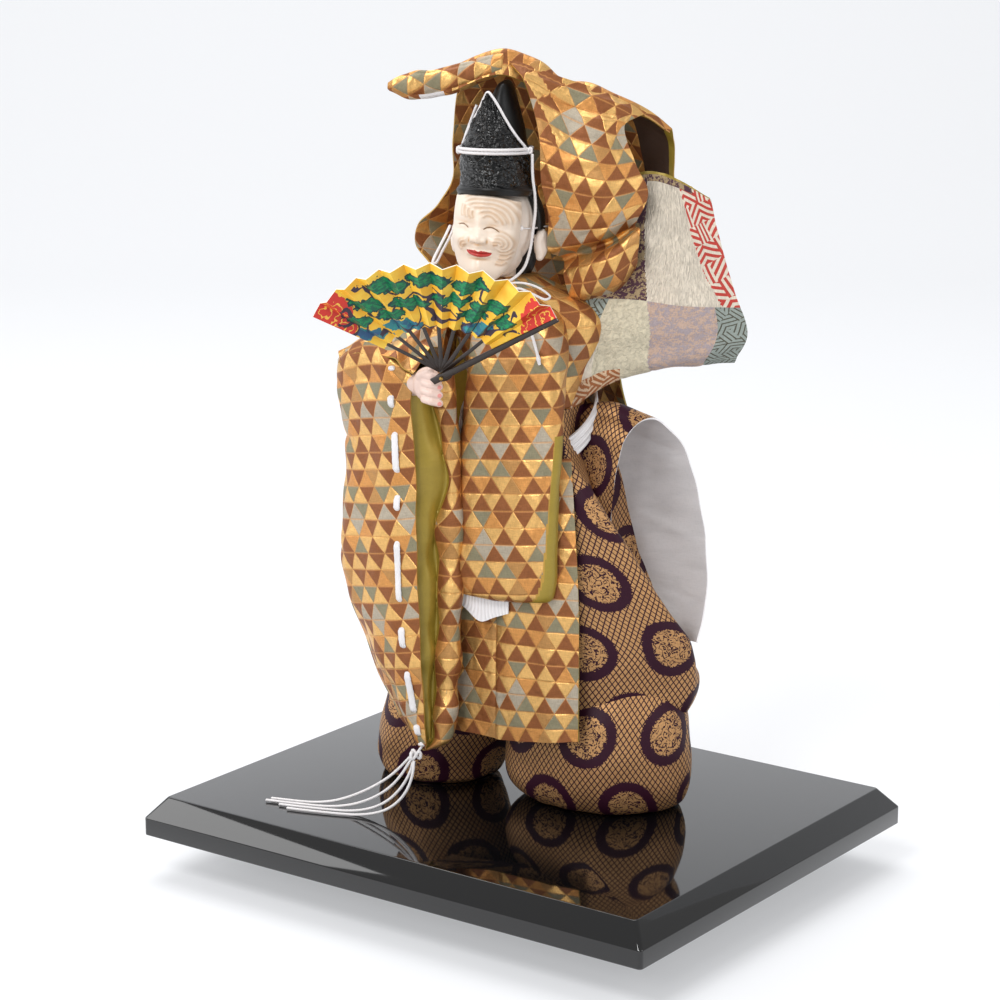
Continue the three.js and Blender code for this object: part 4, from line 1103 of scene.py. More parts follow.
def fan_material():
    """Gold paper painted with pines, rocks and red clouds, and painted light and shade: one face of each
    pleat lighter, the other darker
    """
    fan = settings().fan
    paint = Paint("Painted fan", Roughness=0.42, Metallic=0.12)
    radius = FAN_RADIUS * MM
    shares_of_leaf = paint.on_cloth().stretch((1 / radius, 1 / radius, 1))
    wobble = shares_of_leaf.noise(22, output="Color")
    bent = wobble.node("VectorMath", wobble, (0.1, 0.1, 0.0), shares_of_leaf, operation="MULTIPLY_ADD")
    x, y, _ = bent.split()

    def spots(places):
        """How far inside the nearest of several ovals a place lies, 1 at the middle and 0 at the edge."""
        best = None
        for middle_x, middle_y, wide, tall in places:
            across = (x - (middle_x + 0.05)) / wide
            over = (y - (middle_y + 0.05)) / tall
            inside = 1 - (across * across + over * over).math("SQRT")
            best = best.math("MAXIMUM", inside) if best else inside
        return best

    ground = shares_of_leaf.noise(7, 3).soft_step(0.35, 0.7).mix(tuple(fan.gold), linear("f7cf4a"))
    clouds = spots(CLOUDS)
    swirl = ((clouds * 4).math("FRACT") < 0.17) * (clouds > 0.05)
    tint = clouds.soft_step(0, 0.02).mix(ground, swirl.mix(tuple(fan.cloud), linear("f2c14e")))
    facets = shares_of_leaf.cells(26, "Color").split()[0]
    tint = spots(ROCKS).soft_step(0, 0.03).mix(tint, facets.mix(tuple(fan.blue), linear("2f8f8c")))
    branch = abs(shares_of_leaf.noise(5, 1, 0.4, 0.6) - 0.5) < 0.03
    among_crowns = (y > 0.42) * (y < 0.84) * (abs(x) < 0.6)
    tint = (branch * among_crowns).mix(tint, tuple(fan.bark))
    pines = spots(PINE_CROWNS)
    needles = shares_of_leaf.stretch((30, 60, 1)).noise(1, 2, 0.6).soft_step(0.42, 0.6)
    leaf = pines.soft_step(0.14, 0.2).mix(linear("063c3c"), needles.mix(linear("0a5c46"), tuple(fan.green)))
    tint = pines.soft_step(0, 0.02).mix(tint, leaf)
    # Painted light and shade: the pleat faces that lie one way are painted lighter and the others darker,
    # as directional light would show them
    across, up, _ = shares_of_leaf.split()
    pleat = (across.math("ARCTAN2", up) + FAN_HALF_SPREAD) * (FAN_PLEATS / (2 * FAN_HALF_SPREAD))
    painted_lit_faces = pleat.math("FRACT") > 0.5
    return paint.wired(
        Base_Color=painted_lit_faces.between(0.8, 1.08).shade(tint), height=shares_of_leaf.noise(180), depth=0.00008,
        strength=0.5,
    )


def fan_back_material():
    """Plain gold paper"""
    paint = Paint("Fan back", Roughness=0.45, Metallic=0.3)
    place = paint.on_cloth()
    tint = place.noise(300, 3).mix(tuple(settings().fan.gold), linear("c98f22"))
    return paint.wired(Base_Color=tint, height=place.noise(1500), depth=0.0001, strength=0.5)


def paper_edge_material():
    paint = Paint("Paper edge", Roughness=0.6)
    return paint.wired(Base_Color=paint.in_space().noise(900).mix(linear("f2ede2"), linear("ddd4c2")))


# Stage


# The direction of the view: to the right of the front, and above level
VIEW_TURN, VIEW_RISE = math.radians(36.015), math.radians(13.578)
# How far back the floor reaches and how high it runs up behind, in metres, and how it is turned
FLOOR_PROFILE = (
    (-9.0, 0.0, 0.0), (2.2, 0.0, 0.0), (2.7, 0.0, 0.06), (3.1, 0.0, 0.28), (3.4, 0.0, 0.7), (3.5, 0.0, 1.4),
    (3.5, 0.0, 6.0),
)
FLOOR_HALF_WIDTH = 9
FLOOR_TURN = math.radians(36)
# Soft lights: name, place, the height on the doll that they face, size and power
LIGHTS = (
    ("Key", (0.2, -2.3, 2.6), 0.3, (1.1, 0.9), 50), ("Front", (0.9, -2.6, 1.45), 0.4, (0.5, 0.5), 15),
    ("Top", (-0.9, 0.5, 3.0), 0.25, (2.4, 2.0), 60), ("Right", (2.6, 0.3, 1.5), 0.3, (1.0, 1.8), 16),
    ("Left", (-2.4, -1.4, 1.2), 0.3, (1.2, 1.8), 22),
)


def placed(name, data, place, back):
    """Puts a camera or a light into the scene, with its back in one direction."""
    thing = bpy.data.objects.new(name, data)
    thing.location = place
    thing.rotation_euler = back.to_track_quat("Z", "Y").to_euler()
    bpy.context.scene.collection.objects.link(thing)
    return thing


def make_stage():
    """The camera at the photograph's angle, a pale floor that runs up behind, and soft lights."""
    scene = bpy.context.scene
    options = settings().stage
    camera = bpy.data.cameras.new("Camera")
    camera.lens = options.lens
    camera.clip_start = 0.05
    level = math.cos(VIEW_RISE)
    back = Vector((math.sin(VIEW_TURN) * level, -math.cos(VIEW_TURN) * level, math.sin(VIEW_RISE)))
    scene.camera = placed("Camera", camera, options.camera, back)

    tint = tuple(options.floor)
    paint = Paint(
        "Pale floor", Roughness=0.9, Base_Color=tint, Emission_Color=tint, Emission_Strength=0.8,
        Specular_IOR_Level=0.0,
    )
    cos, sin = math.cos(FLOOR_TURN), math.sin(FLOOR_TURN)
    line = spline(FLOOR_PROFILE, steps(60))
    ends = (-FLOOR_HALF_WIDTH, FLOOR_HALF_WIDTH)
    grid = np.array([[(cos * s - sin * x, sin * s + cos * x, z) for s in ends] for x, _, z in line])
    floor = new_piece("Floor", grid, [paint.material])

    for name, place, height, size, power in LIGHTS:
        light = bpy.data.lights.new(name, "AREA")
        light.shape = "RECTANGLE"
        light.size, light.size_y = size
        light.energy = power
        placed(name, light, place, Vector(place) - Vector((0, 0, height)))
    world = bpy.data.worlds.new("Studio")
    world.use_nodes = True
    background = world.node_tree.nodes["Background"].inputs
    background["Color"].default_value = (1.0, 1.0, 1.0, 1.0)
    background["Strength"].default_value = 0.5
    scene.world = world
    scene.view_settings.view_transform = "Standard"
    return [floor]


# Tassel cords and plinth

# Each cord keeps its own lane from the knot to the plinth, in metres
TASSEL_ROUTES = (
    (
        (-0.0596, -0.0844, 0.0754), (-0.063, -0.0844, 0.0716), (-0.069, -0.0844, 0.065),
        (-0.077, -0.0846, 0.0574),
        (-0.087, -0.085, 0.05), (-0.098, -0.0858, 0.0434), (-0.11, -0.0868, 0.0376),
        (-0.122, -0.088, 0.0334),
        (-0.134, -0.0894, 0.0312), (-0.146, -0.0906, 0.0305), (-0.158, -0.0916, 0.0305),
        (-0.171, -0.0924, 0.0305),
    ),
    (
        (-0.0584, -0.0876, 0.0732), (-0.061, -0.0878, 0.069), (-0.0654, -0.088, 0.062),
        (-0.072, -0.0884, 0.0536),
        (-0.081, -0.089, 0.0456), (-0.092, -0.09, 0.039), (-0.104, -0.0914, 0.0342),
        (-0.117, -0.093, 0.0314),
        (-0.13, -0.0946, 0.0305), (-0.144, -0.096, 0.0305), (-0.158, -0.097, 0.0305),
        (-0.173, -0.0976, 0.0305),
    ),
    (
        (-0.0554, -0.0908, 0.0726), (-0.0566, -0.0914, 0.0674), (-0.06, -0.092, 0.0596),
        (-0.0656, -0.0926, 0.051),
        (-0.0736, -0.0934, 0.0426), (-0.0836, -0.0944, 0.0362), (-0.0946, -0.0958, 0.0324),
        (-0.1066, -0.0976, 0.0307), (-0.1196, -0.0994, 0.0305), (-0.1326, -0.1008, 0.0305),
        (-0.1456, -0.1018, 0.0305), (-0.1596, -0.1024, 0.0305),
    ),
    (
        (-0.053, -0.094, 0.0752), (-0.0528, -0.0958, 0.069), (-0.0546, -0.097, 0.06),
        (-0.0586, -0.098, 0.051),
        (-0.0654, -0.099, 0.0426), (-0.0744, -0.1, 0.0362), (-0.0854, -0.1014, 0.0324),
        (-0.0974, -0.1032, 0.0307),
        (-0.1104, -0.105, 0.0305), (-0.1234, -0.1064, 0.0305), (-0.1364, -0.1074, 0.0305),
        (-0.1504, -0.108, 0.0305),
    ),
)
TASSEL_LENGTHS = (0.126, 0.1315, 0.1251, 0.1249)
TASSEL_KNOT = (-0.055, -0.088, 0.078)
TASSEL_NECK = ((-0.0536, -0.0872, 0.0792), (-0.0505, -0.0865, 0.0836), (-0.048, -0.0855, 0.0875))
CHIN_END_ROUTE = (
    (0.0046, -0.0574, 0.4215), (0.009, -0.0588, 0.417), (0.0144, -0.0598, 0.4114),
    (0.0194, -0.0602, 0.4054),
    (0.0234, -0.0604, 0.399), (0.0264, -0.0606, 0.392), (0.0288, -0.0609, 0.385), (0.0308, -0.0612, 0.3784),
    (0.0324, -0.0616, 0.372),
)
CHIN_END_KNOT = 0.93


def metres(points):
    """Points of the doll's own frame, in metres, as places over the plinth."""
    return doll(np.asarray(points, float) / MM)


def knot_line(centre, count, stride, across, up, depth):
    """A cord's closed turn round a place in metres; it swings by so many millimetres each way."""
    turn = steps(count)[:-1] * math.tau
    line = np.stack([
        across[0] * np.sin(turn) + across[1] * np.sin(2 * turn),
        up[0] * np.cos(turn) - up[1] * np.cos(2 * turn), -depth * np.sin(3 * turn),
    ], axis=-1) + centre / MM
    return even_line(np.concatenate([line, line[:1]])[::stride] * MM, 0.0004)


def make_tassel():
    """The knot at the foot of the sleeve's lacing and its four cords, which run down onto the plinth."""
    width = settings().cords.cord
    pieces = []
    for number, (route, length) in enumerate(zip(TASSEL_ROUTES, TASSEL_LENGTHS), start=1):
        line = even_line(metres(route), 0.0007)
        name = f"tassel_cord_{number}"
        piece = cord_piece(name + "_silk", line, width * 0.98, finish(cord_material), relief=0.07)
        dress(piece, name)
        tuple(metres(TASSEL_KNOT))
        pieces.append(piece)
    loop = knot_line(metres(TASSEL_KNOT), 160, 8, (3.1, 1.3), (3.1, 1.3), 2.6)
    knot = cord_piece("tassel_knot_turns", loop, width * 1.15, finish(cord_material), closed=True)
    neck = even_line(metres(TASSEL_NECK), 0.0005)
    collar = cord_piece("tassel_knot_neck", neck, width * 1.3, finish(cord_material), height=width * 0.9)
    knot = joined("tassel_knot_tied", [knot, collar])
    dress(knot, "tassel_knot")
    return pieces + [knot]


# A face points up where its normal's height is above this
UPWARD = 0.9


def edit(piece):
    only(piece)
    bpy.ops.object.mode_set(mode="EDIT")
    bpy.ops.mesh.select_mode(type="FACE")


def picked(piece, part, rule):
    """Selects the faces, edges or vertices of a piece in edit mode that a rule picks."""
    mesh = bmesh.from_edit_mesh(piece.data)
    elements = getattr(mesh, part)
    chosen = [element for element in elements if rule(element)]
    for element in elements:
        element.select_set(False)
    for element in chosen:
        element.select_set(True)
    bmesh.update_edit_mesh(piece.data)


def make_plinth():
    """A low block with upright sides and a sloping edge, in mirror-black lacquer."""
    sizes = settings().plinth
    low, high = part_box("plinth")
    width, depth, height = high - low
    bpy.ops.mesh.primitive_cube_add(size=1, location=(0, 0, sizes.side / 2))
    plinth = bpy.context.object
    plinth.name = plinth.data.name = "plinth_block"
    plinth.scale = (width, depth, sizes.side)
    settled(plinth)
    edit(plinth)
    picked(plinth, "faces", lambda face: face.normal.z > UPWARD)
    bpy.ops.mesh.extrude_region_move(TRANSFORM_OT_translate={"value": (0, 0, height - sizes.side)})
    narrow = (1 - 2 * sizes.slope / width, 1 - 2 * sizes.slope / depth, 1)
    bpy.ops.transform.resize(value=narrow, center_override=(0, 0, height))
    bpy.ops.mesh.select_mode(type="EDGE")
    picked(plinth, "edges", lambda edge: abs(edge.verts[0].co.z - edge.verts[1].co.z) > 0.001)
    bpy.ops.mesh.bevel(offset=sizes.corner, segments=6, profile=0.5, affect="EDGES")
    bpy.ops.object.mode_set(mode="OBJECT")
    applied(
        plinth, "BEVEL", width=sizes.softening, segments=3, limit_method="ANGLE",
        angle_limit=math.radians(22),
    )
    plinth.data.materials.append(finish(lacquer_material))
    only(plinth)
    bpy.ops.object.shade_smooth_by_angle(angle=math.radians(30))
    return [dress(plinth, "plinth")]


# Hakama

SEAT = 331.0
HIP_PATTERN = (-13.0, -20.0)
# Levels of its upper part: height, front, open left edge and hollow, back corner, rear and right reach
HAKAMA_LEVELS = (
    (88, -34, (104, 12), (100, 30), (82, 46), 52, 98),
    (104, -43, (121, 11), (116, 33), (93, 54), 68, 116),
    (130, -47, (127, 10), (122, 32), (98, 58), 78, 122),
    (157, -49, (127, 4), (82, 30), (92, 64), 82, 119),
    (190, -48, (111, -13), (58, 22), (74, 70), 80, 111),
    (230, -46, (91, -27), (52, 17), (60, 70), 74, 96),
    (262, -44, (70, -34), (47, 12), (53, 62), 66, 78),
    (300, -41, (44, -33), (42, 6), (44, 44), 52, 56),
    (SEAT, -37, (33, -26), (38, 4), (33, 26), 38, 42),
)
# Levels of the legs: height, centre and two radii
RIGHT_LEG = (
    (29.3, -83, 24, 42, 37), (33, -82, 24, 49, 44), (44, -81, 24, 53, 48), (70, -75, 21, 55, 51),
    (100, -68, 18, 52, 49), (125, -61, 14, 44, 42),
)
LEFT_LEG = (
    (29.3, 57, 8, 53, 38), (32, 57, 7, 63, 46), (44, 55, 6, 72, 54), (70, 55, 6, 74, 58),
    (100, 57, 8, 68, 56), (125, 58, 10, 54, 46),
)
# The back panel's wing, from inside the hip out to the rim of its mouth, front edge first
WING_ROOT = (
    (42, 8, 232), (41, 0, 262), (40, -4, 292), (40, 2, 318), (36, 14, 329), (36, 30, 317), (42, 46, 290),
    (50, 56, 250), (58, 60, 208), (72, 58, 176), (96, 46, 152),
)
WING_MIDDLE = (
    (54, 5, 238), (55, -4, 262), (57, -5, 291), (59, -1, 317), (60, 14, 332), (63, 32, 324), (70, 52, 294),
    (80, 62, 252), (90, 64, 208), (100, 58, 172), (112, 40, 150),
)
WING_RIM = (
    (63, 5, 240), (66, 0, 260), (71, -4, 288), (76, -1, 309), (84, 14, 321), (93, 30, 318), (105, 48, 296),
    (115, 57, 256), (121, 58, 212), (124, 48, 176), (127, 22, 154),
)


def row_places(grid, anchor):
    """Flat places that keep each row's own length from one column: a cone's cloth, cut open behind it."""
    rows, columns = grid.shape[:2]
    column = int(round(anchor * (columns - 1)))
    far = np.linalg.norm(np.diff(grid, axis=1), axis=-1)
    u = np.concatenate([np.zeros((rows, 1)), np.cumsum(far, axis=1)], axis=1)
    u = u - u[:, column:column + 1]
    down = np.concatenate([[0], np.cumsum(np.linalg.norm(np.diff(grid[:, column], axis=0), axis=-1))])
    return np.stack([u, np.broadcast_to(down[:, None], u.shape)], axis=-1)


def hakama_level(z, front, edge, hollow, back, rear, right):
    return [
        (0, front, z), (-right * 0.62, front * 0.72, z), (-right, 4, z), (-right * 0.72, rear * 0.74, z),
        (0, rear, z), (*back, z), (*hollow, z), (*edge, z),
        (edge[0] * 0.55, front * 0.86 + edge[1] * 0.14, z),
    ]


def make_hakama():
    """Stiff upper part, the wing at its open left side, and two puffed legs gathered at the foot."""
    cloth = settings().hakama.cloth
    outer, lining, rim = finish(roundel_material), finish(wing_lining_material), finish(white_edge_material)
    grid = ring_net([hakama_level(*level) for level in HAKAMA_LEVELS], 180, 130)
    flat = flatten(grid, 120)
    relief = ripples(flat, 46, 0.7, 3, along=0.35) + ripples(flat, 17, 0.22, 4)
    around = steps(180) * math.tau
    pleats = np.cos(around * 14) * bell(around - math.pi, 1.3)
    relief = relief + pleats * (1 - 0.65 * steps(130)[:, None])
    column = np.arange(181)
    fade = np.minimum(1, np.minimum(column, column[::-1]) / 8)
    hips = cloth_piece(
        "hakama_upper", moved(grid, -relief * fade), 1, cloth, outer, lining, rim,
        turned_flat(row_places(grid, 0.84), 0, HIP_PATTERN), closed=True,
    )
    dress(hips, "hakama")
    pieces = [hips]
    for side, levels, seed in (("right", RIGHT_LEG, 11), ("left", LEFT_LEG, 12)):
        rings = [oval(x, y, z, rx, ry, 24) for z, x, y, rx, ry in levels]
        grid = ring_net(rings, 150, 70)
        flat = flatten(grid, 80)
        height = steps(70)[:, None]
        angle = steps(150) * math.tau
        gathers = np.cos(angle * 11 + 1.5 * np.sin(angle * 3 + seed)) * np.exp(-height / 0.22)
        slack = np.cos(angle * 5 + seed + 2.2 * height) * np.sin(math.pi * height) ** 0.7
        relief = ripples(flat, 30, 0.35, seed) * np.clip(height * 6, 0, 1) - 1.1 * (1 - slack)
        relief = relief - 1.6 * (1 - gathers) * np.clip((height - 0.02) * 14, 0, 1)
        turned = row_places(grid, 0.78) + np.array((30 * (seed - 11) + 8, -18))
        way = grid - grid.mean(axis=1, keepdims=True)
        way /= np.linalg.norm(way, axis=-1, keepdims=True)
        leg = closed_piece(
            f"hakama_{side}_leg", grid + way * np.minimum(relief, 0.3)[..., None], [outer], turned,
        )
        dress(leg, "hakama")
        pieces.append(leg)
    grid = net([WING_ROOT, WING_MIDDLE, WING_RIM], 150, 60)
    flat = flatten(grid, 200)
    relief = ripples(flat, 34, 0.8, 21, along=0.5) * np.clip(steps(60)[:, None] * 3, 0, 1)
    relief = relief + folds(
        flat, ((0.15, 0.2), (0.2, 0.95), 5, 1.4), ((0.33, 0.1), (0.36, 1.0), 5, -1.5),
        ((0.55, 0.1), (0.62, 1.0), 6, 1.6), ((0.72, 0.1), (0.78, 0.95), 5, -1.2),
        ((0.86, 0.1), (0.9, 1.0), 5, 1.1),
    )
    wing = cloth_piece(
        "hakama_wing", moved(grid, -relief), 1, cloth, outer, lining, rim, turned_flat(flat, 90, (-14, 6)),
    )
    dress(wing, "hakama")
    pieces.append(wing)
    return pieces


# Sash

SASH_LEVEL, SASH_SLOPE, SASH_WIDTH = 318.0, 0.62, 17.0
SASH_END_ROWS = (
    ((-33, -61, 196), (-20.5, -61.2, 187), (-8, -61.4, 178), (3, -61.4, 182), (14, -61.4, 186)),
    ((-33, -60.6, 214), (-20, -61, 214), (-8, -61.2, 214), (3, -61.2, 214), (14, -61, 214)),
    ((-26, -56, 254), (-16, -56.6, 254), (-6, -56.8, 254), (3, -56.8, 254), (12, -56.4, 254)),
    ((-22, -51, 287), (-13, -51.6, 287), (-5, -51.8, 287), (3, -51.8, 287), (11, -51.4, 287)),
)


def make_sash():
    """A folded white belt that climbs towards the back, and its end folded to a point."""
    silk = finish(white_silk_material)
    rings = []
    for share in steps(4):
        lift = (share - 0.5) * SASH_WIDTH
        bulge = 0.9 * math.sin(math.pi * share)
        ring = oval(-1, 2, 0, 51 + bulge, 45.5 + bulge, 40)
        ring[:, 2] = SASH_LEVEL + SASH_SLOPE * ring[:, 1] + lift
        rings.append(ring)
    grid = ring_net(rings, 200, 26)
    flat = flatten(grid, 60)
    wander = 0.8 * np.sin(steps(200) * math.tau * 3)
    crease = 0.45 * np.cos(steps(26)[:, None] * math.pi * 6 + wander)
    belt = cloth_piece(
        "sash_band", moved(grid, crease), -1, 0.0014, silk, silk, None, turned_flat(flat, 90), closed=True,
    )
    dress(belt, "sash_belt")
    grid = net(SASH_END_ROWS, 60, 90) - np.array((5.0, 0.0, 0.0))
    flat = flatten(grid, 120)
    relief = folds(flat, ((0.33, 0.02), (0.3, 0.95), 3, 0.8), ((0.66, 0.02), (0.62, 0.95), 3, -0.5))
    end = cloth_piece("sash_tail", moved(grid, -relief), 1, 0.0012, silk, silk, None, flat)
    dress(end, "sash_end")
    return [belt, end]


# Robe body

TORSO_LEVELS = (
    (331.3, 0, 2, 41, 35), (350, 0, 2, 46, 36), (375, -1, 1, 54, 36), (395, -3, 0, 58, 34),
    (410, -7, -3, 50, 30), (420, -11, -8, 34, 27), (427, -14, -12, 24, 22),
)
# The bloused front: height, left, right, front and back
BLOUSE_LEVELS = (
    (196, -20, 34, -64, -58), (199, -28, 42, -69, -55.5), (212, -31, 45, -71, -55.5),
    (270, -31, 46, -68, -52),
    (330, -30, 47, -62, -46), (375, -27, 45, -56, -32), (402, -29, 34, -44, -18), (414, -27, 18, -34, -16),
)
SKIRT_ROWS = (
    ((-36, -49, 300), (-8, -50, 300), (2, -50.5, 300), (30, -47, 300), (48, -38, 300)),
    ((-38, -52, 214), (-8, -54, 214), (0, -56.5, 214), (36, -58, 214), (60, -55, 214)),
    ((-40, -53, 150), (-8, -55, 150), (0, -58.5, 150), (38, -61, 150), (63, -59, 150)),
    ((-41, -54, 90), (-7, -56, 88), (1, -60, 88), (38, -65, 92), (65, -66, 96)),
)
BACK_ROWS = (
    ((-56, 8, 404), (-32, 27, 406), (-4, 32, 408), (20, 28, 406), (42, 14, 402)),
    ((-66, 22, 376), (-38, 43, 376), (0, 48, 376), (28, 45, 376), (52, 34, 372)),
    ((-74, 34, 344), (-42, 54, 342), (0, 58, 342), (30, 54, 342), (58, 36, 338)),
    ((-86, 55, 270), (-46, 74, 270), (0, 80, 270), (36, 78, 270), (68, 70, 270)),
    ((-88, 74, 200), (-48, 90, 200), (0, 95, 200), (42, 92, 200), (80, 84, 200)),
    ((-92, 74, 112), (-50, 92, 104), (0, 97, 102), (46, 95, 104), (88, 84, 112)),
)


def blouse_ring(z, left, right, front, back):
    middle = (front + back) / 2
    return [
        (left, middle, z), (left + 4, front + 2, z), ((left + right) / 2, front - 1.5, z),
        (right - 4, front + 2, z),
        (right, middle, z), (right - 3, back, z), ((left + right) / 2, back, z), (left + 3, back, z),
    ]


def make_robe_body():
    """Shoulders, the bloused front with its turned satin edge, the front skirt and the hanging back."""
    cloth = settings().brocade.cloth
    outer, lining = finish(brocade_material), finish(lining_material)
    pieces = []
    grid = ring_net([oval(x, y, z, rx, ry, 24) for z, x, y, rx, ry in TORSO_LEVELS], 120, 60)
    flat = flatten(grid, 60)
    relief = np.minimum(ripples(flat, 40, 0.8, 31), 0.4)
    shoulders = closed_piece("robe_shoulders", moved(grid, relief), [outer], flat)
    dress(shoulders, "robe_body")
    pieces.append(shoulders)

    grid = ring_net([blouse_ring(*level) for level in BLOUSE_LEVELS], 170, 170)
    flat = flatten(grid, 160)
    relief = ripples(flat, 42, 0.5, 33) + folds(
        flat, ((0.1, 0.1), (0.14, 0.55), 4, 1.0), ((0.2, 0.2), (0.2, 0.7), 6, -0.9),
        ((0.3, 0.12), (0.29, 0.6), 5, 0.9), ((0.14, 0.8), (0.3, 0.86), 5, -1.4),
        ((0.12, 0.7), (0.3, 0.78), 4, 0.8), ((0.32, 0.03), (0.388, 0.55), 1.2, -1.3),
    )
    across, along_it = shares(grid)
    edge = np.interp(along_it, (0.03, 0.55), (0.326, 0.396))
    paint = np.where(across > edge, 1, 2)
    paint[(across <= edge - 0.008) | (across >= 0.56) | (along_it >= 0.55)] = 0
    relief = np.minimum(relief, 0.9)
    blouse = closed_piece(
        "robe_blouse", moved(grid, relief), [outer, lining, finish(piping_material)],
        turned_flat(flat, -5, (5, 4)),
        paint=paint,
    )
    dress(blouse, "robe_body")
    pieces.append(blouse)

    grid = net(SKIRT_ROWS, 120, 130)
    flat = flatten(grid, 120)
    relief = ripples(flat, 40, 0.7, 35, along=0.4) + folds(
        flat, ((0.75, 0.3), (0.8, 1.0), 7, 1.3), ((0.35, 0.0), (0.35, 1.0), 1.5, -1.7),
    )
    skirt = cloth_piece(
        "robe_skirt", moved(grid, -relief), 1, cloth, outer, lining, None, turned_flat(flat, 180, (3, 2)),
    )
    dress(skirt, "robe_body")
    pieces.append(skirt)

    grid = net(BACK_ROWS, 120, 150)
    flat = flatten(grid, 120)
    relief = ripples(flat, 60, 1.2, 37, along=0.35) + folds(
        flat, ((0.5, 0.05), (0.5, 0.98), 2.4, -1.2), ((0.3, 0.3), (0.25, 1.0), 9, 1.6),
        ((0.72, 0.3), (0.78, 1.0), 9, 1.6),
    )
    across, _ = shares(grid)
    back = cloth_piece(
        "robe_back", moved(grid, 2 + relief), -1, cloth, outer, lining, None,
        turned_flat(flat, 180, (9, 6)),
        inside=np.where(across > 0.62, 0, -1),
    )
    dress(back, "robe_body")
    pieces.append(back)
    return pieces


# Hanging right sleeve

# Levels: height, cuff edge, left reach, rear, facing edge, lift of the front and of the shoulder
HANGING_LEVELS = (
    (372, (-60, -88), -121, (-61, -4), (-46, -60), 10, 26),
    (364, (-53, -95), -126, (-62, 6), (-38, -62), 8, 22),
    (345, (-52, -97), -127, (-65, 10), (-34, -64), 2, 8),
    (315, (-50, -97), -122, (-71, 4), (-31, -65), 0, 0),
    (285, (-49, -97), -121, (-74, -16), (-29, -66), 0, 0),
    (250, (-48, -98), -125, (-76, -32), (-27, -67), 0, 0),
    (205, (-47, -98), -123, (-76, -46), (-28, -68), 0, 0),
    (165, (-46, -98), -111, (-74, -50), (-29, -69), 0, 0),
    (130, (-45, -96), -96, (-66, -54), (-30, -70), 0, 0),
    (104, (-45, -93), -80, (-58, -58), (-32, -72), 0, 0),
    (88, (-45, -89), -66, (-54, -64), (-36, -74), 0, 0),
)
SLEEVE_TIP = (
    (-48, -84, 81), (-50, -83, 80.6), (-53, -81, 80.6), (-56, -78, 81), (-57, -75, 81), (-55, -72, 81),
    (-53, -71, 81), (-51, -70, 81), (-48, -71, 81), (-46, -72, 81), (-43, -75, 81.5), (-43, -78, 82),
)
SLEEVE_YOKE = (
    ((-50, -97, 366), (-68, -95, 375), (-95, -84, 375), (-122, -71, 365)),
    ((-47, -74, 380), (-66, -60, 391), (-94, -52, 387), (-125, -58, 370)),
    ((-44, -58, 378), (-61, -10, 398), (-90, -26, 386), (-120, -51, 369)),
)
# The lacing's place across the cloth, its start and its run as shares, and how deep and high it lies
LACING_SHARE = 1.0 / 18
LACED_FROM, LACED_RUN = 0.06, 0.88
LACING_DEPTH, LACING_RISE = -2.6, 3.2
# Width of the brocade facing from the hand down; it all but vanishes where the sleeve bends
FACING_WIDTHS = (14, 13, 8, 4, 15, 12, 12, 13, 11, 7)
# Where the lacing lies on the cloth, as shares of its run from the hand down; between them it runs behind
STITCHES = (
    (0.03, 0.055), (0.125, 0.165), (0.215, 0.325), (0.37, 0.412), (0.464, 0.578), (0.618, 0.668),
    (0.712, 0.832), (0.868, 0.925), (0.962, 1.0),
)


def hanging_row(z, cuff, left, rear, facing, lift, shoulder):
    return [
        (cuff[0], cuff[1], z),
        (cuff[0] * 0.66 + left * 0.34, cuff[1] * 0.66 - 70 * 0.34 - 6, z + lift),
        (cuff[0] * 0.3 + left * 0.7, cuff[1] * 0.3 - 66 * 0.7 - 5, z + lift),
        (left + 5, -68, z), (left, -59, z), (left + 6, -51, z),
        (left * 0.55 + rear[0] * 0.45, -48 * 0.55 + rear[1] * 0.45, z + shoulder * 0.5),
        (rear[0], rear[1], z + shoulder), (facing[0] - 13, facing[1] + 2, z + shoulder * 0.3),
        (facing[0] - 3, facing[1] + 2, z), (facing[0], facing[1] - 4, z), (facing[0] - 4, facing[1] - 7, z),
    ]


def hanging_sleeve_net():
    """The sleeve's outer side with its folds, and its places on the flat cloth."""
    grid = net([hanging_row(*level) for level in HANGING_LEVELS] + [SLEEVE_TIP], 216, 150)
    flat = flatten(grid, 200)
    relief = ripples(flat, 44, 0.9, 41) + folds(
        flat, ((0.08, 0.13), (0.36, 0.17), 5, -1.6), ((0.1, 0.2), (0.38, 0.26), 6, 1.2),
        ((0.2, 0.3), (0.42, 0.285), 4, -2.4), ((0.08, 0.42), (0.36, 0.4), 7, 1.0),
        ((0.24, 0.52), (0.4, 0.5), 5, -1.6), ((0.1, 0.62), (0.34, 0.58), 8, 1.1),
        ((0.12, 0.75), (0.34, 0.7), 6, -1.4), ((0.16, 0.86), (0.32, 0.8), 5, 1.2),
        ((0.5, 0.1), (0.62, 0.6), 9, -1.8), ((0.55, 0.3), (0.5, 0.9), 8, 1.8),
    )
    down = steps(150)[:, None]
    gathered = np.cos(steps(216) * 2 * math.pi * 9) * np.clip((down - 0.72) / 0.28, 0, 1) ** 1.5
    relief = relief * np.clip((1 - down) * 8, 0, 1) + gathered * np.clip((1 - down) * 12, 0, 1)
    run = (down - LACED_FROM) / LACED_RUN
    pull = sum(bell(run - place, 0.012) for stitch in STITCHES for place in stitch)
    near = np.exp(-((steps(216) - LACING_SHARE) / 0.016) ** 2)
    relief = relief - 0.8 * np.minimum(pull, 1) * near
    return moved(grid, relief * np.clip(down * 18, 0, 1)), flat


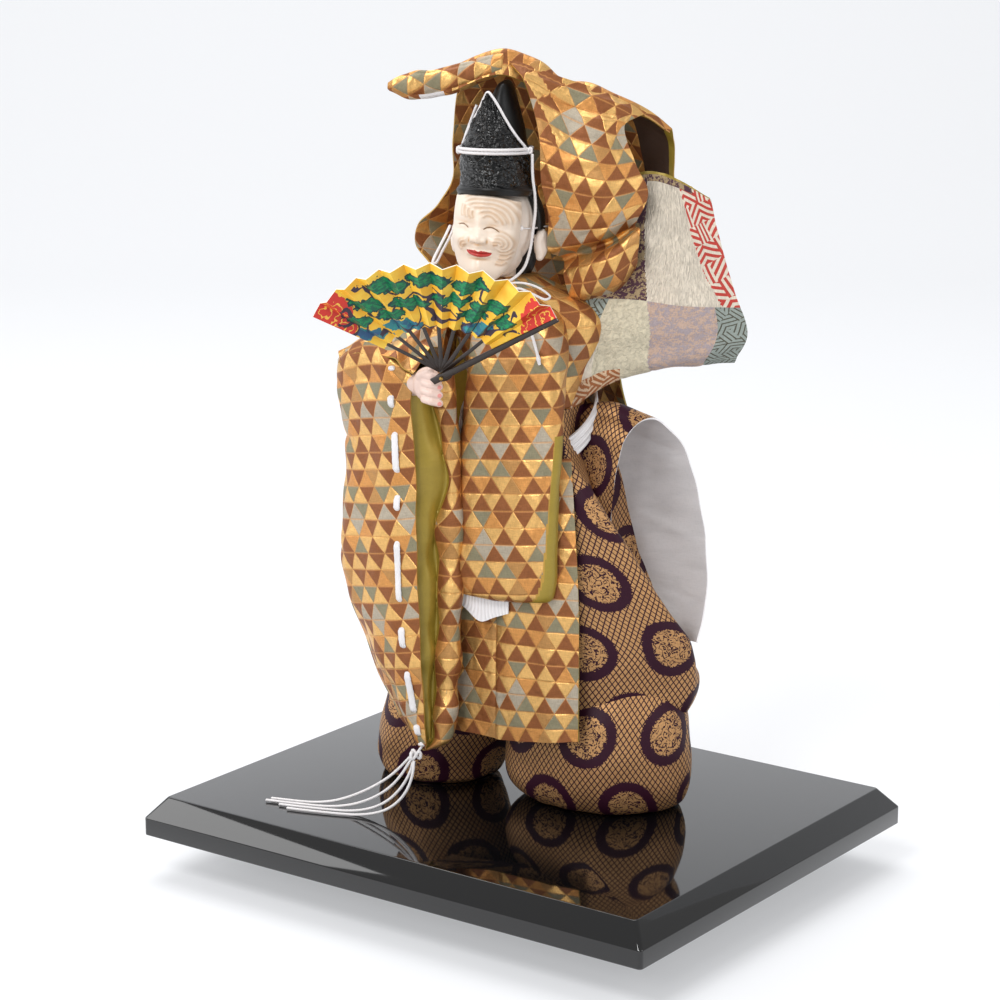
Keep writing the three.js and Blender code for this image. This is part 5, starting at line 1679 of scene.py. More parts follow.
def make_hanging_sleeve():
    """The right sleeve: a bag of brocade that hangs from the forearm, its satin facing and its lacing."""
    cloth = settings().brocade.cloth
    outer, lining, piping = finish(brocade_material), finish(lining_material), finish(piping_material)
    grid, flat = hanging_sleeve_net()
    bag = cloth_piece(
        "robe_hanging_sleeve", grid, -1, cloth, outer, lining, piping, turned_flat(flat, -12, (6, 5)),
    )
    dress(bag, "robe_right_sleeve")

    yoke_grid = net(SLEEVE_YOKE, 90, 70)
    yoke_flat = flatten(yoke_grid, 120)
    yoke_relief = ripples(yoke_flat, 26, 1.2, 43) + folds(
        yoke_flat, ((0.2, 0.1), (0.3, 0.9), 5, 1.6), ((0.5, 0.05), (0.55, 0.95), 6, -1.8),
        ((0.75, 0.1), (0.72, 0.9), 5, 1.4),
    )
    yoke = cloth_piece(
        "robe_sleeve_yoke", moved(yoke_grid, -yoke_relief), 1, cloth, outer, lining, piping,
        turned_flat(yoke_flat, 20, (3, 8)),
    )
    dress(yoke, "robe_right_sleeve")

    rows = []
    for (z, cuff, _, _, (x, y), _, _), width in zip(HANGING_LEVELS[1:], FACING_WIDTHS):
        start = (x - width - 2, y - 6.5)
        rows.append([
            (cuff[0] - 9, cuff[1] + 6, z),
            (cuff[0] * 0.62 + start[0] * 0.38, cuff[1] * 0.5 + start[1] * 0.5 + 2, z),
            (*start, z), (x - width, y - 8.4, z), (x - width * 0.66, y - 10, z),
            (x - width * 0.25, y - 10, z),
            (x + 1.6, y - 8, z), (x + 3.6, y - 3.5, z), (x + 2.4, y + 2.5, z),
        ])
    rows.append([
        (-54, -82, 82), (-52, -83, 81.5), (-50, -84, 81), (-48.5, -84, 81), (-46.5, -83, 81),
        (-44.5, -81, 81), (-43, -78, 81), (-42.6, -75, 81.5), (-44, -72, 82),
    ])
    facing_grid = net(rows, 96, 170)
    facing_flat = flatten(facing_grid, 120)
    facing_relief = ripples(facing_flat, 30, 0.9, 45, across=0.5)
    across, _ = shares(facing_grid)
    paint = np.where(across < 0.355, 1, np.where(across < 0.385, 2, 0))
    facing = cloth_piece(
        "robe_sleeve_facing", moved(facing_grid, -facing_relief), 1, cloth, [outer, lining, piping],
        lining, piping,
        turned_flat(facing_flat, 180, (4, 3)), paint=paint,
        inside=np.where(across > 0.5, 0, -1),
    )
    dress(facing, "robe_right_sleeve")
    return [bag, yoke, facing, make_lacing(grid)]


def make_lacing(grid):
    """A flat cord laced in and out along the sleeve's cuff edge."""
    rows, columns = grid.shape[:2]
    first, part = divmod(LACING_SHARE * (columns - 1), 1)
    first = int(first)
    line = grid[:, first] * (1 - part) + grid[:, first + 1] * part
    away = normals(grid)[:, first]
    run = (steps(rows - 1) - LACED_FROM) / LACED_RUN
    above = np.zeros(rows)
    for start, end in STITCHES:
        above = np.maximum(above, np.clip(np.minimum(run - start, end - run) / 0.016 + 0.35, 0, 1))
    keep = (run > -0.01) & (run < 1.03)
    at = steps(np.count_nonzero(keep) - 1)
    path = line + away * (LACING_DEPTH + LACING_RISE * above)[:, None]
    path, up, above = (
        np.stack([np.interp(steps(699), at, values) for values in part_of[keep].T], axis=-1)
        for part_of in (path, away, above[:, None])
    )
    lacing = cord_piece(
        "sleeve_lacing_cord", doll(path), settings().cords.lacing, finish(cord_material), height=0.0013,
        up=(doll(up) - doll(np.zeros(3))) / MM, relief=0.04, sides=16, swell=0.45 + 0.8 * above[:, 0],
    )
    return dress(lacing, "sleeve_lacing")


# Raised left sleeve

# The roll at the near end of the ridge: place, depth and height
BEAK = (
    (-87, -53, 563, 2, 3), (-80, -48, 563.5, 5, 8), (-64, -38, 564.5, 7, 10.5), (-46, -27, 568.5, 8, 10.5),
    (-30, -17, 574, 8, 9.5), (-16, -8, 579, 7, 7),
)
BACK_SHEET = (
    (
        (-46, -34, 560), (-47, -28, 578), (-50, -2, 575), (-64, 18, 552), (-70, 23, 520), (-70, 24, 492),
        (-84, 30, 470), (-103, 34, 452), (-104, 32, 437), (-84, 24, 420),
    ),
    (
        (-16, -16, 571), (-15, -2, 588), (-18, 28, 578), (-26, 50, 550), (-32, 60, 515), (-38, 64, 486),
        (-50, 68, 462), (-62, 68, 440), (-62, 60, 420), (-50, 42, 404),
    ),
    (
        (20, 0, 556), (20, 12, 568), (20, 42, 555), (20, 66, 530), (18, 78, 502), (14, 82, 474),
        (6, 82, 450), (-4, 78, 430), (-8, 66, 414), (-6, 48, 403),
    ),
    (
        (52, 16, 546), (52, 27, 557), (54, 54, 542), (56, 72, 518), (58, 81, 496), (58, 84, 470),
        (56, 82, 448), (50, 76, 428), (42, 64, 414), (34, 46, 403),
    ),
    (
        (75, 37, 540), (76, 42, 543.5), (77, 62, 531), (78, 74, 511), (79, 79, 491), (80, 79, 469),
        (80, 76, 450), (78, 69, 434), (70, 57, 421), (59, 41, 408),
    ),
    (
        (87.6, 57, 526.5), (88, 60, 529.5), (87, 69, 519), (86, 74, 503), (86, 75, 486), (87, 74, 470),
        (87, 70, 455), (85, 62, 442), (79, 50, 429), (69, 36, 414),
    ),
)
FRONT_FLAP = (
    (
        (-14, -8, 584), (0, -13, 568), (8, -16, 552), (15, -18, 526), (17, -20, 497), (22, -18, 470),
        (20, -13, 447), (26, 0, 438), (31, -10, 426), (36, -8, 411), (40, 8, 405),
    ),
    (
        (22, 8, 568), (30, 2, 554), (35, -7, 538), (39, -13, 519), (42, -16, 496), (45, -14, 472),
        (46, -10, 455), (47, 2, 447), (48, -12, 435), (49, -10, 417), (50, 8, 408),
    ),
    (
        (53, 24, 557), (57, 14, 546), (59, 3, 533), (62, -5, 516), (64, -9, 497), (66, -9, 477),
        (66, -6, 463), (64, 5, 454), (67, -11, 446), (68, -8, 428), (65, 10, 416),
    ),
    (
        (77, 37, 543), (72, 27, 540), (67, 16, 535), (73, 11, 520), (80, 11, 504), (87, 12, 488),
        (84, 6, 474), (78, 10, 464), (86, -3, 464), (85, -2, 447), (78, 14, 432),
    ),
)


def make_raised_sleeve():
    """The left sleeve over the head: its back sheet, its front flap and the roll at the near end."""
    cloth = settings().brocade.cloth
    outer, lining, piping = finish(brocade_material), finish(lining_material), finish(piping_material)
    grid = net(BACK_SHEET, 160, 150)
    flat = flatten(grid, 240)
    relief = ripples(flat, 44, 1.0, 51) + folds(
        flat, ((0.1, 0.05), (0.12, 0.9), 4, 1.0), ((0.16, 0.02), (0.2, 0.95), 4, -1.4),
        ((0.3, 0.05), (0.34, 0.95), 9, 1.4), ((0.5, 0.02), (0.5, 0.9), 8, -1.6),
        ((0.7, 0.05), (0.66, 0.9), 9, 1.4),
    )
    across, down = shares(grid)
    # Where the lining's side is not brocade, the olive lining shows only along the sheet's edges; the rest
    # takes the dark satin of painted shade (material 1)
    inside = np.where((down < 0.62) | (across > 0.55), 0, np.where((down > 0.9) | (across < 0.1), -1, 1))
    back = cloth_piece("sleeve_back", moved(grid, -relief), 1, cloth, [
        outer, finish(painted_shade_lining_material),
    ],
                       lining, piping, turned_flat(flat, 90, (2, 7)), inside=inside)
    dress(back, "robe_left_sleeve")

    grid = net(FRONT_FLAP, 170, 130)
    flat = flatten(grid, 240)
    across, down = shares(grid)
    beside_head = down < 0.25
    down = steps(170)
    relief = ripples(flat, 34, 0.8, 53) + folds(
        flat, ((0.07, 0.02), (0.05, 0.9), 2.6, 1.8), ((0.13, 0.05), (0.11, 0.95), 2.4, -2.2),
        ((0.19, 0.08), (0.17, 1.0), 2.6, 1.6), ((0.26, 0.1), (0.24, 0.95), 3, -1.8),
        ((0.35, 0.05), (0.32, 0.8), 5, 1.4), ((0.52, 0.3), (0.46, 0.98), 6, 1.4),
        ((0.6, 0.05), (0.55, 0.9), 4, -1.6),
    )
    crease = bell(down - 0.705, 0.02)
    relief = relief * (1 - 0.6 * bell(down - 0.8, 0.1)) - 1.5 * crease
    flap = cloth_piece("sleeve_front", moved(grid, relief), -1, cloth, outer, lining, piping,
                       turned_flat(flat, -78, (4, 1)), inside=np.where(beside_head, 0, -1))
    dress(flap, "robe_left_sleeve")

    angle = np.arange(24) / 24 * math.tau
    rings = [
        np.stack([np.full(24, float(x)), y + deep * np.cos(angle), z + high * np.sin(angle)], axis=-1)
        for x, y, z, deep, high in BEAK
    ]
    grid = ring_net(rings, 96, 110)
    flat = flatten(grid, 100)
    relief = ripples(flat, 22, 0.7, 55) + folds(
        flat, ((0.15, 0.1), (0.12, 0.95), 2, -1.2), ((0.32, 0.15), (0.36, 0.95), 2, -1.0),
        ((0.62, 0.1), (0.6, 0.95), 2, -1.2),
    )
    across, along_it = shares(grid)
    paint = np.where((across > 0.62) & (across < 0.76) & (along_it > 0.36) & (along_it < 0.54), 1, 0)
    relief = np.minimum(relief, 0.8)
    roll = closed_piece(
        "sleeve_roll", moved(grid, relief), [outer, finish(wing_lining_material)],
        turned_flat(flat, 60, (6, 2)),
        paint=paint,
    )
    dress(roll, "robe_left_sleeve")
    return [back, flap, roll]


# Patchwork sleeve

PATCHWORK_NEAR = (
    ((70, 34, 497), (84, 38, 498), (100, 42, 493), (124, 44, 481)),
    ((64, 20, 462), (86, 22, 462), (110, 30, 459), (131, 42, 455)),
    ((50, 8, 424), (80, 13, 424), (111, 22, 420), (143, 42, 417)),
    ((38, -9, 390), (70, 6, 390), (110, 19, 386), (154, 42, 385)),
    ((34, -14, 352), (60, 3, 362), (98, 20, 361), (147, 40, 367)),
    ((36, -12, 330), (58, 8, 346), (96, 27, 358), (143, 45, 363)),
)
PATCHWORK_DEPTH = 17.0
PATCHES = (
    cream_crepe, plum_cloth, red_key_cloth, beige_crepe, lilac_cloth, sage_fret_cloth, rust_key_cloth,
)


def patch_numbers(across, down):
    """Which patch covers each place of the near face; down is 0 at the arm and 1 at the lower fold."""
    seam = np.interp(down, (0, 0.2, 0.4, 0.6, 0.8, 1), (0.2, 0.26, 0.39, 0.5, 0.58, 0.6))
    edge = np.interp(down, (0, 0.2, 0.4, 0.48), (0.66, 0.71, 0.86, 0.9))
    upper = down < 0.48
    number = np.zeros(across.shape, int)
    number[upper & (across < seam)] = 1
    number[upper & (across > edge)] = 2
    number[(down < 0.03) & (across < 0.8)] = 1
    number[~upper & (across >= seam)] = 4
    number[~upper & (across > 0.85)] = 5
    number[~upper & (across < seam)] = 3
    number[~upper & (across < 0.16) & (down < 0.66)] = 5
    number[(down > 0.66) & (across < 0.22)] = 0
    number[(down > 0.84) & (across < 0.42)] = 6
    return number


def make_patchwork_sleeve():
    """The under-robe's sleeve: a bag pieced from seven cloths, with a groove along every seam."""
    away = np.array([-0.4, 0.92, 0.0])
    far_rows = [
        [np.array(p) + away * PATCHWORK_DEPTH * (0.55 if i == 3 else 1) for i, p in enumerate(row)]
        for row in PATCHWORK_NEAR[-2::-1]
    ]
    grid = net([*np.array(PATCHWORK_NEAR, float), *far_rows], 110, 230)
    flat = flatten(grid, 200)
    across, along_it = shares(grid)
    down = 1 - np.abs(2 * along_it - 1)
    paint = patch_numbers(across, down)
    corner_across, corner_along = np.meshgrid(steps(110), steps(230))
    corners = patch_numbers(corner_across, 1 - np.abs(2 * corner_along - 1))
    seam = np.zeros(corners.shape)
    seam[:, 1:] += corners[:, 1:] != corners[:, :-1]
    seam[1:] += corners[1:] != corners[:-1]
    seam = np.minimum(seam, 1)
    soft = seam.copy()
    for _ in range(2):
        wide = np.pad(soft, 1, mode="edge")
        beside = wide[:-2, 1:-1] + wide[2:, 1:-1] + wide[1:-1, :-2] + wide[1:-1, 2:]
        soft = (beside + 2 * soft) / 6
    relief = ripples(flat, 30, 0.9, 61) + folds(
        flat, ((0.05, 0.3), (0.25, 0.5), 5, 1.6), ((0.1, 0.25), (0.38, 0.48), 5, -1.4),
        ((0.6, 0.05), (0.7, 0.45), 7, 0.8),
    ) - 1.1 * soft
    piece = cloth_piece(
        "patchwork_sleeve", moved(grid, -relief), 1, 0.0012, [finish(patch) for patch in PATCHES],
        finish(lining_material), None, flat, paint=paint,
    )
    dress(piece, "under_sleeve")
    return [piece]


# Head and hair


def frame_of(place):
    """The matrix that carries a piece modelled in millimetres in another frame onto the plinth."""
    origin, x, y, z = doll(place(np.array(((0, 0, 0), (1, 0, 0), (0, 1, 0), (0, 0, 1)), float)))
    matrix = np.identity(4)
    matrix[:3] = np.stack([x - origin, y - origin, z - origin, origin], axis=-1)
    return Matrix(matrix)


def ball(centre, radii, segments=40):
    """A sphere stretched to three radii, in the frame its piece is modelled in."""
    bpy.ops.mesh.primitive_uv_sphere_add(
        segments=segments, ring_count=segments // 2, radius=1, location=centre,
    )
    bpy.context.object.scale = radii
    return settled(bpy.context.object)


def limb(start, end, first, last):
    """A tapered round bar with ball ends from one point to another."""
    start, end = Vector(start), Vector(end)
    way = end - start
    bpy.ops.mesh.primitive_cone_add(
        vertices=24, radius1=first, radius2=last, depth=way.length, location=(start + end) / 2,
    )
    bar = bpy.context.object
    bar.rotation_euler = way.to_track_quat("Z", "Y").to_euler()
    return [settled(bar), ball(start, (first,) * 3, 24), ball(end, (last,) * 3, 24)]


def melted(name, pieces, voxel, smoothing, material, matrix):
    """Joins solids that overlap into one smooth skin, and carries it onto the doll."""
    piece = joined(name, pieces)
    applied(piece, "REMESH", mode="VOXEL", voxel_size=voxel, use_smooth_shade=True)
    applied(piece, "SMOOTH", factor=0.5, iterations=smoothing)
    piece.data.transform(matrix)
    piece.data.materials.clear()
    piece.data.materials.append(material)
    piece.data.shade_smooth()
    return piece


def make_head():
    """The white head behind the mask with its ears and neck, and the hair round it."""
    matrix = frame_of(on_head)
    parts = [
        ball((-1.5, 0, 3), (27, 29, 34)), ball((-1, -8, -16), (21, 19, 19)),
        *limb((0, 4, -42), (0, 4, -8), 13.6, 13),
    ]
    for side in (-1, 1):
        parts.append(ball((side * 31.2, 1.4, -9), (5.4, 6.6, 11.2)))
        parts.append(ball((side * 31, 0, -17.6), (3.2, 3.6, 4)))
    head = melted("head_with_ears", parts, 0.9, 6, finish(face_material), matrix)
    mesh = head.data
    inverse = matrix.inverted()
    for vertex in mesh.vertices:
        x, y, z = inverse @ vertex.co
        if abs(x) > 28.6:
            bowl = math.exp(-((y + 2.6) / 3.6) ** 2 - ((z + 7.4) / 6.2) ** 2)
            vertex.co = matrix @ Vector((x - math.copysign(2.6 * bowl, x), y, z))
    dress(head, "head")

    hair = joined(
        "hair_cap", [ball((0, 5, 2), (32.2, 31.6, 36.6), 64), ball((0, 17, -20), (25.6, 15.6, 27.6), 64)],
    )
    applied(hair, "REMESH", mode="VOXEL", voxel_size=0.8, use_smooth_shade=True)
    cutters = []
    for y, z, depth, height in ((-24.5, 0, 40, 150), (0, -16, 21, 35)):
        bpy.ops.mesh.primitive_cube_add(size=1, location=(0, y, z))
        bpy.context.object.scale = (120, depth, height)
        cutters.append(settled(bpy.context.object))
    for cutter in (*cutters, ball((-1.5, 0, 3), (28, 30, 35.2), 48)):
        applied(hair, "BOOLEAN", object=cutter, operation="DIFFERENCE", solver="EXACT")
        bpy.data.objects.remove(cutter)
    melted("hair_cap", [hair], 0.8, 5, finish(hair_material), matrix)
    dress(hair, "hair")
    return [head, hair]


# Mask

# Levels: height, half width, front and side depth, cheek fullness, how far the edges hang below the middle
MASK_X, NOSE_X, MASK_SKEW = -5.4, -6.2, -3.5
MASK_LEVELS = (
    (27.4, 22.6, -35, -16, 0.84, 4), (20, 23.2, -37.5, -16, 0.84, 2), (11, 23.6, -39.5, -16, 0.86, 0),
    (4, 23.6, -39.5, -16, 0.84, 0), (-4, 23.4, -44.5, -16, 0.86, 0), (-10, 22.4, -42, -17, 0.84, 0),
    (-17, 20.6, -40, -18, 0.8, 0), (-26, 16.4, -39.5, -21, 0.78, -1), (-35, 10, -35, -24, 0.8, -3),
)
MASK_SHAPE = (
    (-1, 0), (-0.86, 0.52), (-0.5, None), (-0.2, 0.92), (0, 1), (0.2, 0.92), (0.5, None), (0.86, 0.52),
    (1, 0),
)
# Raised wrinkles as lines of (x, z) in the head's frame, with their width and height
WRINKLES = (
    ((( -20.5, 21.5), (-14, 25.2), (-4, 26.2), (6, 25.4), (14, 22), (19.4, 15.5), (20.8, 8)), 1.15, 1.15),
    (((-17.6, 20.2), (-12, 22.4), (-4, 23.2), (5, 22.4), (12, 19.2), (16.8, 13), (18, 6.6)), 1.05, 1.1),
    (((-13.4, 19.4), (-9, 20), (-3, 20.3), (4, 19.6), (10, 16.6), (13.8, 11.4), (15, 6)), 1.0, 1.05),
    (((-8.4, 15.6), (-4, 17.4), (1, 17.3), (6.4, 14.8), (10.2, 10.4), (11.4, 7)), 0.95, 1.0),
    (((-5.6, 12.2), (-2.4, 14.4), (1.4, 14.2), (4.6, 12), (6.8, 9.6)), 0.85, 0.9),
    (((-19.4, 20.6), (-20, 15.4), (-19, 11.4)), 0.9, 0.9),
    (((-16.4, 18.6), (-16.8, 14.4), (-15.6, 11)), 0.85, 0.9),
    (((-13.2, 16.8), (-13.4, 13.4), (-12, 10.6)), 0.8, 0.8),
    (((4.6, 1.4), (9.4, 1.5), (14, -1.2), (16.2, -5.4), (14.6, -9.4), (10.6, -10.6), (7.4, -9)), 0.95, 1.0),
    (((4, -1), (8.6, -0.9), (12.2, -3), (13.4, -5.8), (12, -8.2), (9.4, -8.4)), 0.9, 0.95),
    (((4, -3.4), (7.6, -3.2), (10.2, -4.6), (10.4, -6.4), (8.8, -6.8)), 0.8, 0.85),
    (((4.2, -5.8), (6.6, -5.4), (8, -5.4)), 0.7, 0.6),
    (((8.6, -12.4), (13.4, -13), (17, -10.6)), 0.85, 0.8),
    (((7.4, -15.8), (12.2, -16.6), (15.6, -14.4)), 0.85, 0.8),
    (((5.8, -19.4), (10, -20.4), (13.2, -18.4)), 0.85, 0.7),
    (((-15.4, -4), (-19.4, -5.6), (-20.2, -9.6), (-17.6, -12)), 0.85, 0.8),
    (((-14.6, -6.4), (-17.4, -7.6), (-17.6, -9.8)), 0.75, 0.7),
)
EYES = (
    ((-23.2, 4.6), (-21, 5.7), (-18.6, 6.0), (-16.4, 5.2), (-14.4, 3.6)),
    ((-3.6, 3.8), (-1, 5.2), (2.2, 5.4), (5.4, 4.3), (8.6, 2.4)),
)


def distance_to_line(x, z, points):
    """How far places of the face lie from a smooth line over it, and how far along that line."""
    line = spline(points, steps(60))
    away = np.sqrt((x[..., None] - line[:, 0]) ** 2 + (z[..., None] - line[:, 1]) ** 2)
    return away.min(axis=-1), away.argmin(axis=-1) / 60


def mask_relief(x, z):
    """Height over the plain mask in millimetres, and how much of a place is lip, eye slit and groove."""
    def hill(cx, cz, wide, tall, power=2):
        return np.exp(-(np.abs((x - cx) / wide) ** power) - (np.abs((z - cz) / tall) ** power))

    height = np.zeros_like(x)
    wrinkled = np.zeros_like(x)
    for points, width, high in WRINKLES:
        off, share = distance_to_line(x, z, points)
        fade = np.clip(np.minimum(share, 1 - share) * 7 + 0.25, 0, 1)
        ridge = 0.84 * high * fade * bell(off, 1.12 * width)
        height = np.maximum(height, ridge)
        wrinkled = np.maximum(wrinkled, fade * bell(off, 2.3 * width))
    groove = np.clip(wrinkled - height * 0.95, 0, 1)
    slit = np.zeros_like(x)
    for eye in EYES:
        off, share = distance_to_line(x, z, eye)
        fade = np.clip(np.minimum(share, 1 - share) * 6 + 0.3, 0, 1)
        cx, cz = np.mean(eye, axis=0)
        height = height * (1 - 0.9 * hill(cx, cz - 0.4, 6.2, 3.4)) - 1.0 * hill(cx, cz + 2.4, 6, 2.2)
        height = height + 1.3 * hill(cx, cz + 0.4, 5.6, 2.6) - 1.3 * fade * bell(off, 0.55)
        height = height - 0.5 * hill(cx, cz - 3.4, 5.4, 1.3)
        slit = np.maximum(slit, fade * np.exp(-(off / 0.42) ** 4))
        groove = np.maximum(groove, 0.6 * hill(cx, cz + 2.6, 5.6, 1.2))
    height = height + 1.3 * hill(NOSE_X, -0.8, 2.5, 3.2) + 0.9 * hill(NOSE_X, 6, 1.9, 5.5)
    height = height - 0.7 * hill(NOSE_X, -6.6, 5.4, 1.4)
    for side in (-1, 1):
        height = height + 1.7 * hill(NOSE_X + side * 4.4, -3.5, 1.9, 2.0)
        height = height - 0.8 * hill(NOSE_X + side * 7.0, -3.2, 1.1, 2.2)
        height = height - 0.8 * hill(NOSE_X + side * 1.9, -5.9, 1.1, 0.6)
        groove = np.maximum(groove, 0.9 * hill(NOSE_X + side * 6.6, -4.2, 1.0, 2.2))
    groove = np.maximum(groove, 0.75 * hill(NOSE_X, -6.9, 4.6, 1.0))
    half = np.clip(1 - ((x - MASK_X) / 9.2) ** 2, 0, 1)
    line = -12.6 + 0.006 * (x - MASK_X) ** 2 - 0.05 * (x - MASK_X)
    upper = 1.9 * half ** 0.7 - 0.5 * bell(x - MASK_X, 1.2)
    lower = 3.0 * half ** 0.6
    lips = ((z < line + upper) & (z > line - lower) & (half > 0.02)).astype(float)
    height = height + 1.2 * half ** 0.5 * bell(z - line - 0.9, 1.3)
    height = height + 1.5 * half ** 0.5 * bell(z - line + 1.6, 1.5)
    height = height - 1.3 * half ** 0.5 * bell(z - line, 0.5)
    groove = np.maximum(groove, 0.8 * bell(z + 17.6, 1.1) * half)
    height = height - 0.9 * hill(MASK_X, -17.8, 6.5, 1.6) + 1.3 * hill(MASK_X, -24.4, 6.5, 4.6)
    return height, lips, slit, groove


def make_mask():
    """The old man's mask: a thin carved shell with raised wrinkles, and the string that ties it on."""
    rows = []
    for z, half, front, side, cheek, sag in MASK_LEVELS:
        shape = [(x, cheek if out is None else out) for x, out in MASK_SHAPE]
        rows.append([
            (MASK_X + half * x, side + MASK_SKEW * x * (1 - out) + (front - side) * out, z - sag * x * x)
            for x, out in shape
        ])
    grid = moved(net(rows, 210, 230), -2.0)
    height, lips, slit, groove = mask_relief(grid[..., 0], grid[..., 2])
    across, down = steps(210), steps(230)[:, None]
    edge = np.clip(np.minimum(np.minimum(across, 1 - across), np.minimum(down, 1 - down)) / 0.03, 0, 1)
    rounded = 1 - np.sqrt(np.clip(1 - (1 - edge) ** 2, 0, 1))
    carved = moved(grid, rounded - height * edge)
    flat = np.zeros(carved.shape[:2] + (2,))
    mask = new_piece("mask_shell", doll(on_head(carved)), [finish(mask_material)], flat, turned=True)
    applied(mask, "SOLIDIFY", thickness=0.0016, offset=-1, use_quality_normals=True)
    for name, values in (("lips", lips), ("slit", slit), ("groove", groove)):
        painted = np.zeros(len(mask.data.vertices))
        painted[:values.size] = values.ravel()
        mask.data.attributes.new(name, "FLOAT", "POINT").data.foreach_set("value", painted)
    dress(mask, "mask")

    route = (
        (18.6, -19.5, 4), (25.6, -9, 3), (30.4, 0, 3.4), (34.4, 8, 3), (31, 21, 1), (21, 32, -2),
        (5, 38.6, -4),
        (-12, 36.6, -3), (-25, 27.6, -1), (-33, 14, 2), (-33, 4, 3.2), (-31.4, -5, 3), (-29.6, -12, 4),
    )
    string = cord_piece(
        "mask_string_cord", even_line(doll(on_head(route)), 0.0006), 0.0012, finish(cord_material),
        sides=10,
    )
    knots = []
    for place in ((19.6, -19.2, 4.2), (-29.4, -12.4, 4)):
        knots.append(ball(tuple(doll(on_head(place))), (0.0019, 0.0015, 0.0019), 20))
        knots[-1].data.materials.append(finish(cord_material))
    string = joined("mask_string_tied", [string, *knots])
    string.data.shade_smooth()
    dress(string, "mask_string")
    return [mask, string]


# Hat

# Levels: height, centre and two radii
HAT_LEVELS = (
    (24.6, -1.2, -2, 28, 36.5), (28.4, -1.2, -2, 28.8, 37.6), (31.6, -1.6, -1, 26.4, 34),
    (54, -3.2, 2, 23.6, 31),
    (70, -1.5, 7, 18, 25), (84, 0.2, 9, 12.6, 20), (96, 1.2, 12, 7.5, 17), (102, 1.6, 13, 4.6, 13),
    (104.2, 1.8, 13, 1.8, 9),
)
HAT_BAND = (32, 56)
HAT_FRONT_ROWS = (
    ((-26.5, -3, 50), (-19, -21.5, 50), (-3, -29.6, 50), (13, -21.5, 50), (20.6, -4, 50)),
    ((-25.6, -4, 57), (-18, -20.6, 57), (-3.2, -28, 57), (12, -20, 57), (19.5, -6, 57)),
    ((-19.2, -9, 72), (-13.5, -18.5, 72), (-4.5, -23.2, 72), (5, -19, 72), (11.4, -12, 72)),
    ((-11.4, -10.4, 86), (-8.6, -15, 86), (-5, -17.2, 86), (-1, -15, 86), (2.8, -12.4, 86)),
    ((-7, -11, 96), (-6.2, -12, 96.5), (-5.5, -12.6, 96.8), (-4.8, -12, 96.5), (-4, -11.4, 96)),
)


def make_hat():
    """The tall black hat: a crinkled band over a rolled brim, a smooth crown and a folded peak."""
    rings = []
    for level, (z, x, y, radius_x, radius_y) in enumerate(HAT_LEVELS):
        ring = oval(x, y, z, radius_x, radius_y, 48)
        if level < 3:
            ring[:, 2] += 4 * np.clip((y - ring[:, 1]) / radius_y, 0, 1) ** 2
        rings.append(ring)
    grid = ring_net(rings, 216, 190)
    height = grid[..., 2]
    flat = flatten(grid, 40)
    band = np.clip((height - HAT_BAND[0]) / 2, 0, 1) * np.clip((HAT_BAND[1] - height) / 2, 0, 1)
    crinkle = ripples(flat, 5.5, 0.34, 71) + ripples(flat, 11, 0.4, 72) + ripples(flat, 3.2, 0.14, 73)
    seam = bell(grid[..., 0] + 4.5, 0.7) * (grid[..., 1] < 0)
    relief = band * (crinkle - 0.25) - 0.5 * band * seam + 0.16 * (1 - band) * ripples(flat, 24, 1.0, 74)
    grid = moved(grid, -np.minimum(relief, 0.5))
    middle = 0.5 * (height[1:, 1:] + height[:-1, :-1])
    paint = (middle > HAT_BAND[0] + 1) & (middle < HAT_BAND[1])
    top = np.broadcast_to(grid[-1].mean(axis=0), grid[-1].shape)[None]
    whole = np.concatenate([grid, top])
    flat = np.concatenate([flat, flat[-1:]])
    paint = np.concatenate([paint, paint[-1:]])
    piece = new_piece(
        "hat_crown", doll(on_hat(whole)), [finish(smooth_hat_material), finish(crinkled_hat_material)],
        flat, paint,
    )
    merged(piece, outward=True)
    applied(piece, "SOLIDIFY", thickness=0.0014, offset=-1)
    dress(piece, "hat")

    grid = net(HAT_FRONT_ROWS, 170, 130)
    flat = flatten(grid, 120)
    crinkle = ripples(flat, 5.5, 0.36, 75) + ripples(flat, 10, 0.4, 76) + ripples(flat, 3, 0.14, 77)
    crease = 0.8 * np.exp(-((steps(170) - 0.5) / 0.012) ** 2)
    front = cloth_piece(
        "hat_peak", moved(grid, 1.5 + crinkle + crease), -1, 0.0012, finish(crinkled_hat_material),
        finish(smooth_hat_material), None, flat, lambda points: doll(on_hat(points)),
    )
    dress(front, "hat")
    return [piece, front]


# White cords of hat and chin

HAT_CHEVRON = (
    (20.6, -10, 60), (16.4, -13.4, 66), (11.4, -15, 73.5), (6.8, -15.2, 81), (2.4, -14.8, 88.4),
    (-2, -14, 94.8),
    (-5.6, -13.2, 98.2), (-8.6, -12.4, 94), (-12.4, -11.6, 86), (-17, -10.6, 77.6), (-21.6, -9, 69.4),
    (-25.4, -7, 61),
)
CHIN_CORD = (
    (21.8, -8.4, 56), (22.2, -8.6, 51.4), (23.4, -9, 40), (26, -9.6, 27.4), (27.2, -10, 16), (26.8, -11, 3),
    (25.8, -13, -13),
    (23, -19, -25.4), (13, -30, -34.4), (-1, -33.6, -36.8), (-10, -28.4, -36.4), (-18, -18, -31),
    (-25, -2, -23),
    (-29.4, 13, -12), (-31.4, 18.5, 2), (-32, 19, 16), (-31.8, 17.5, 30), (-31.6, 11, 44),
    (-29.6, -1, 54.4),
)
BOW_LOOP = (
    (15, -37, -34), (24, -40, -31.6), (34, -41.6, -31.8), (43, -41.4, -35), (48, -40, -39.4),
    (45, -39.6, -41.6), (36, -41, -38.6), (26, -40.6, -35.6), (15.6, -37.6, -37.6),
)
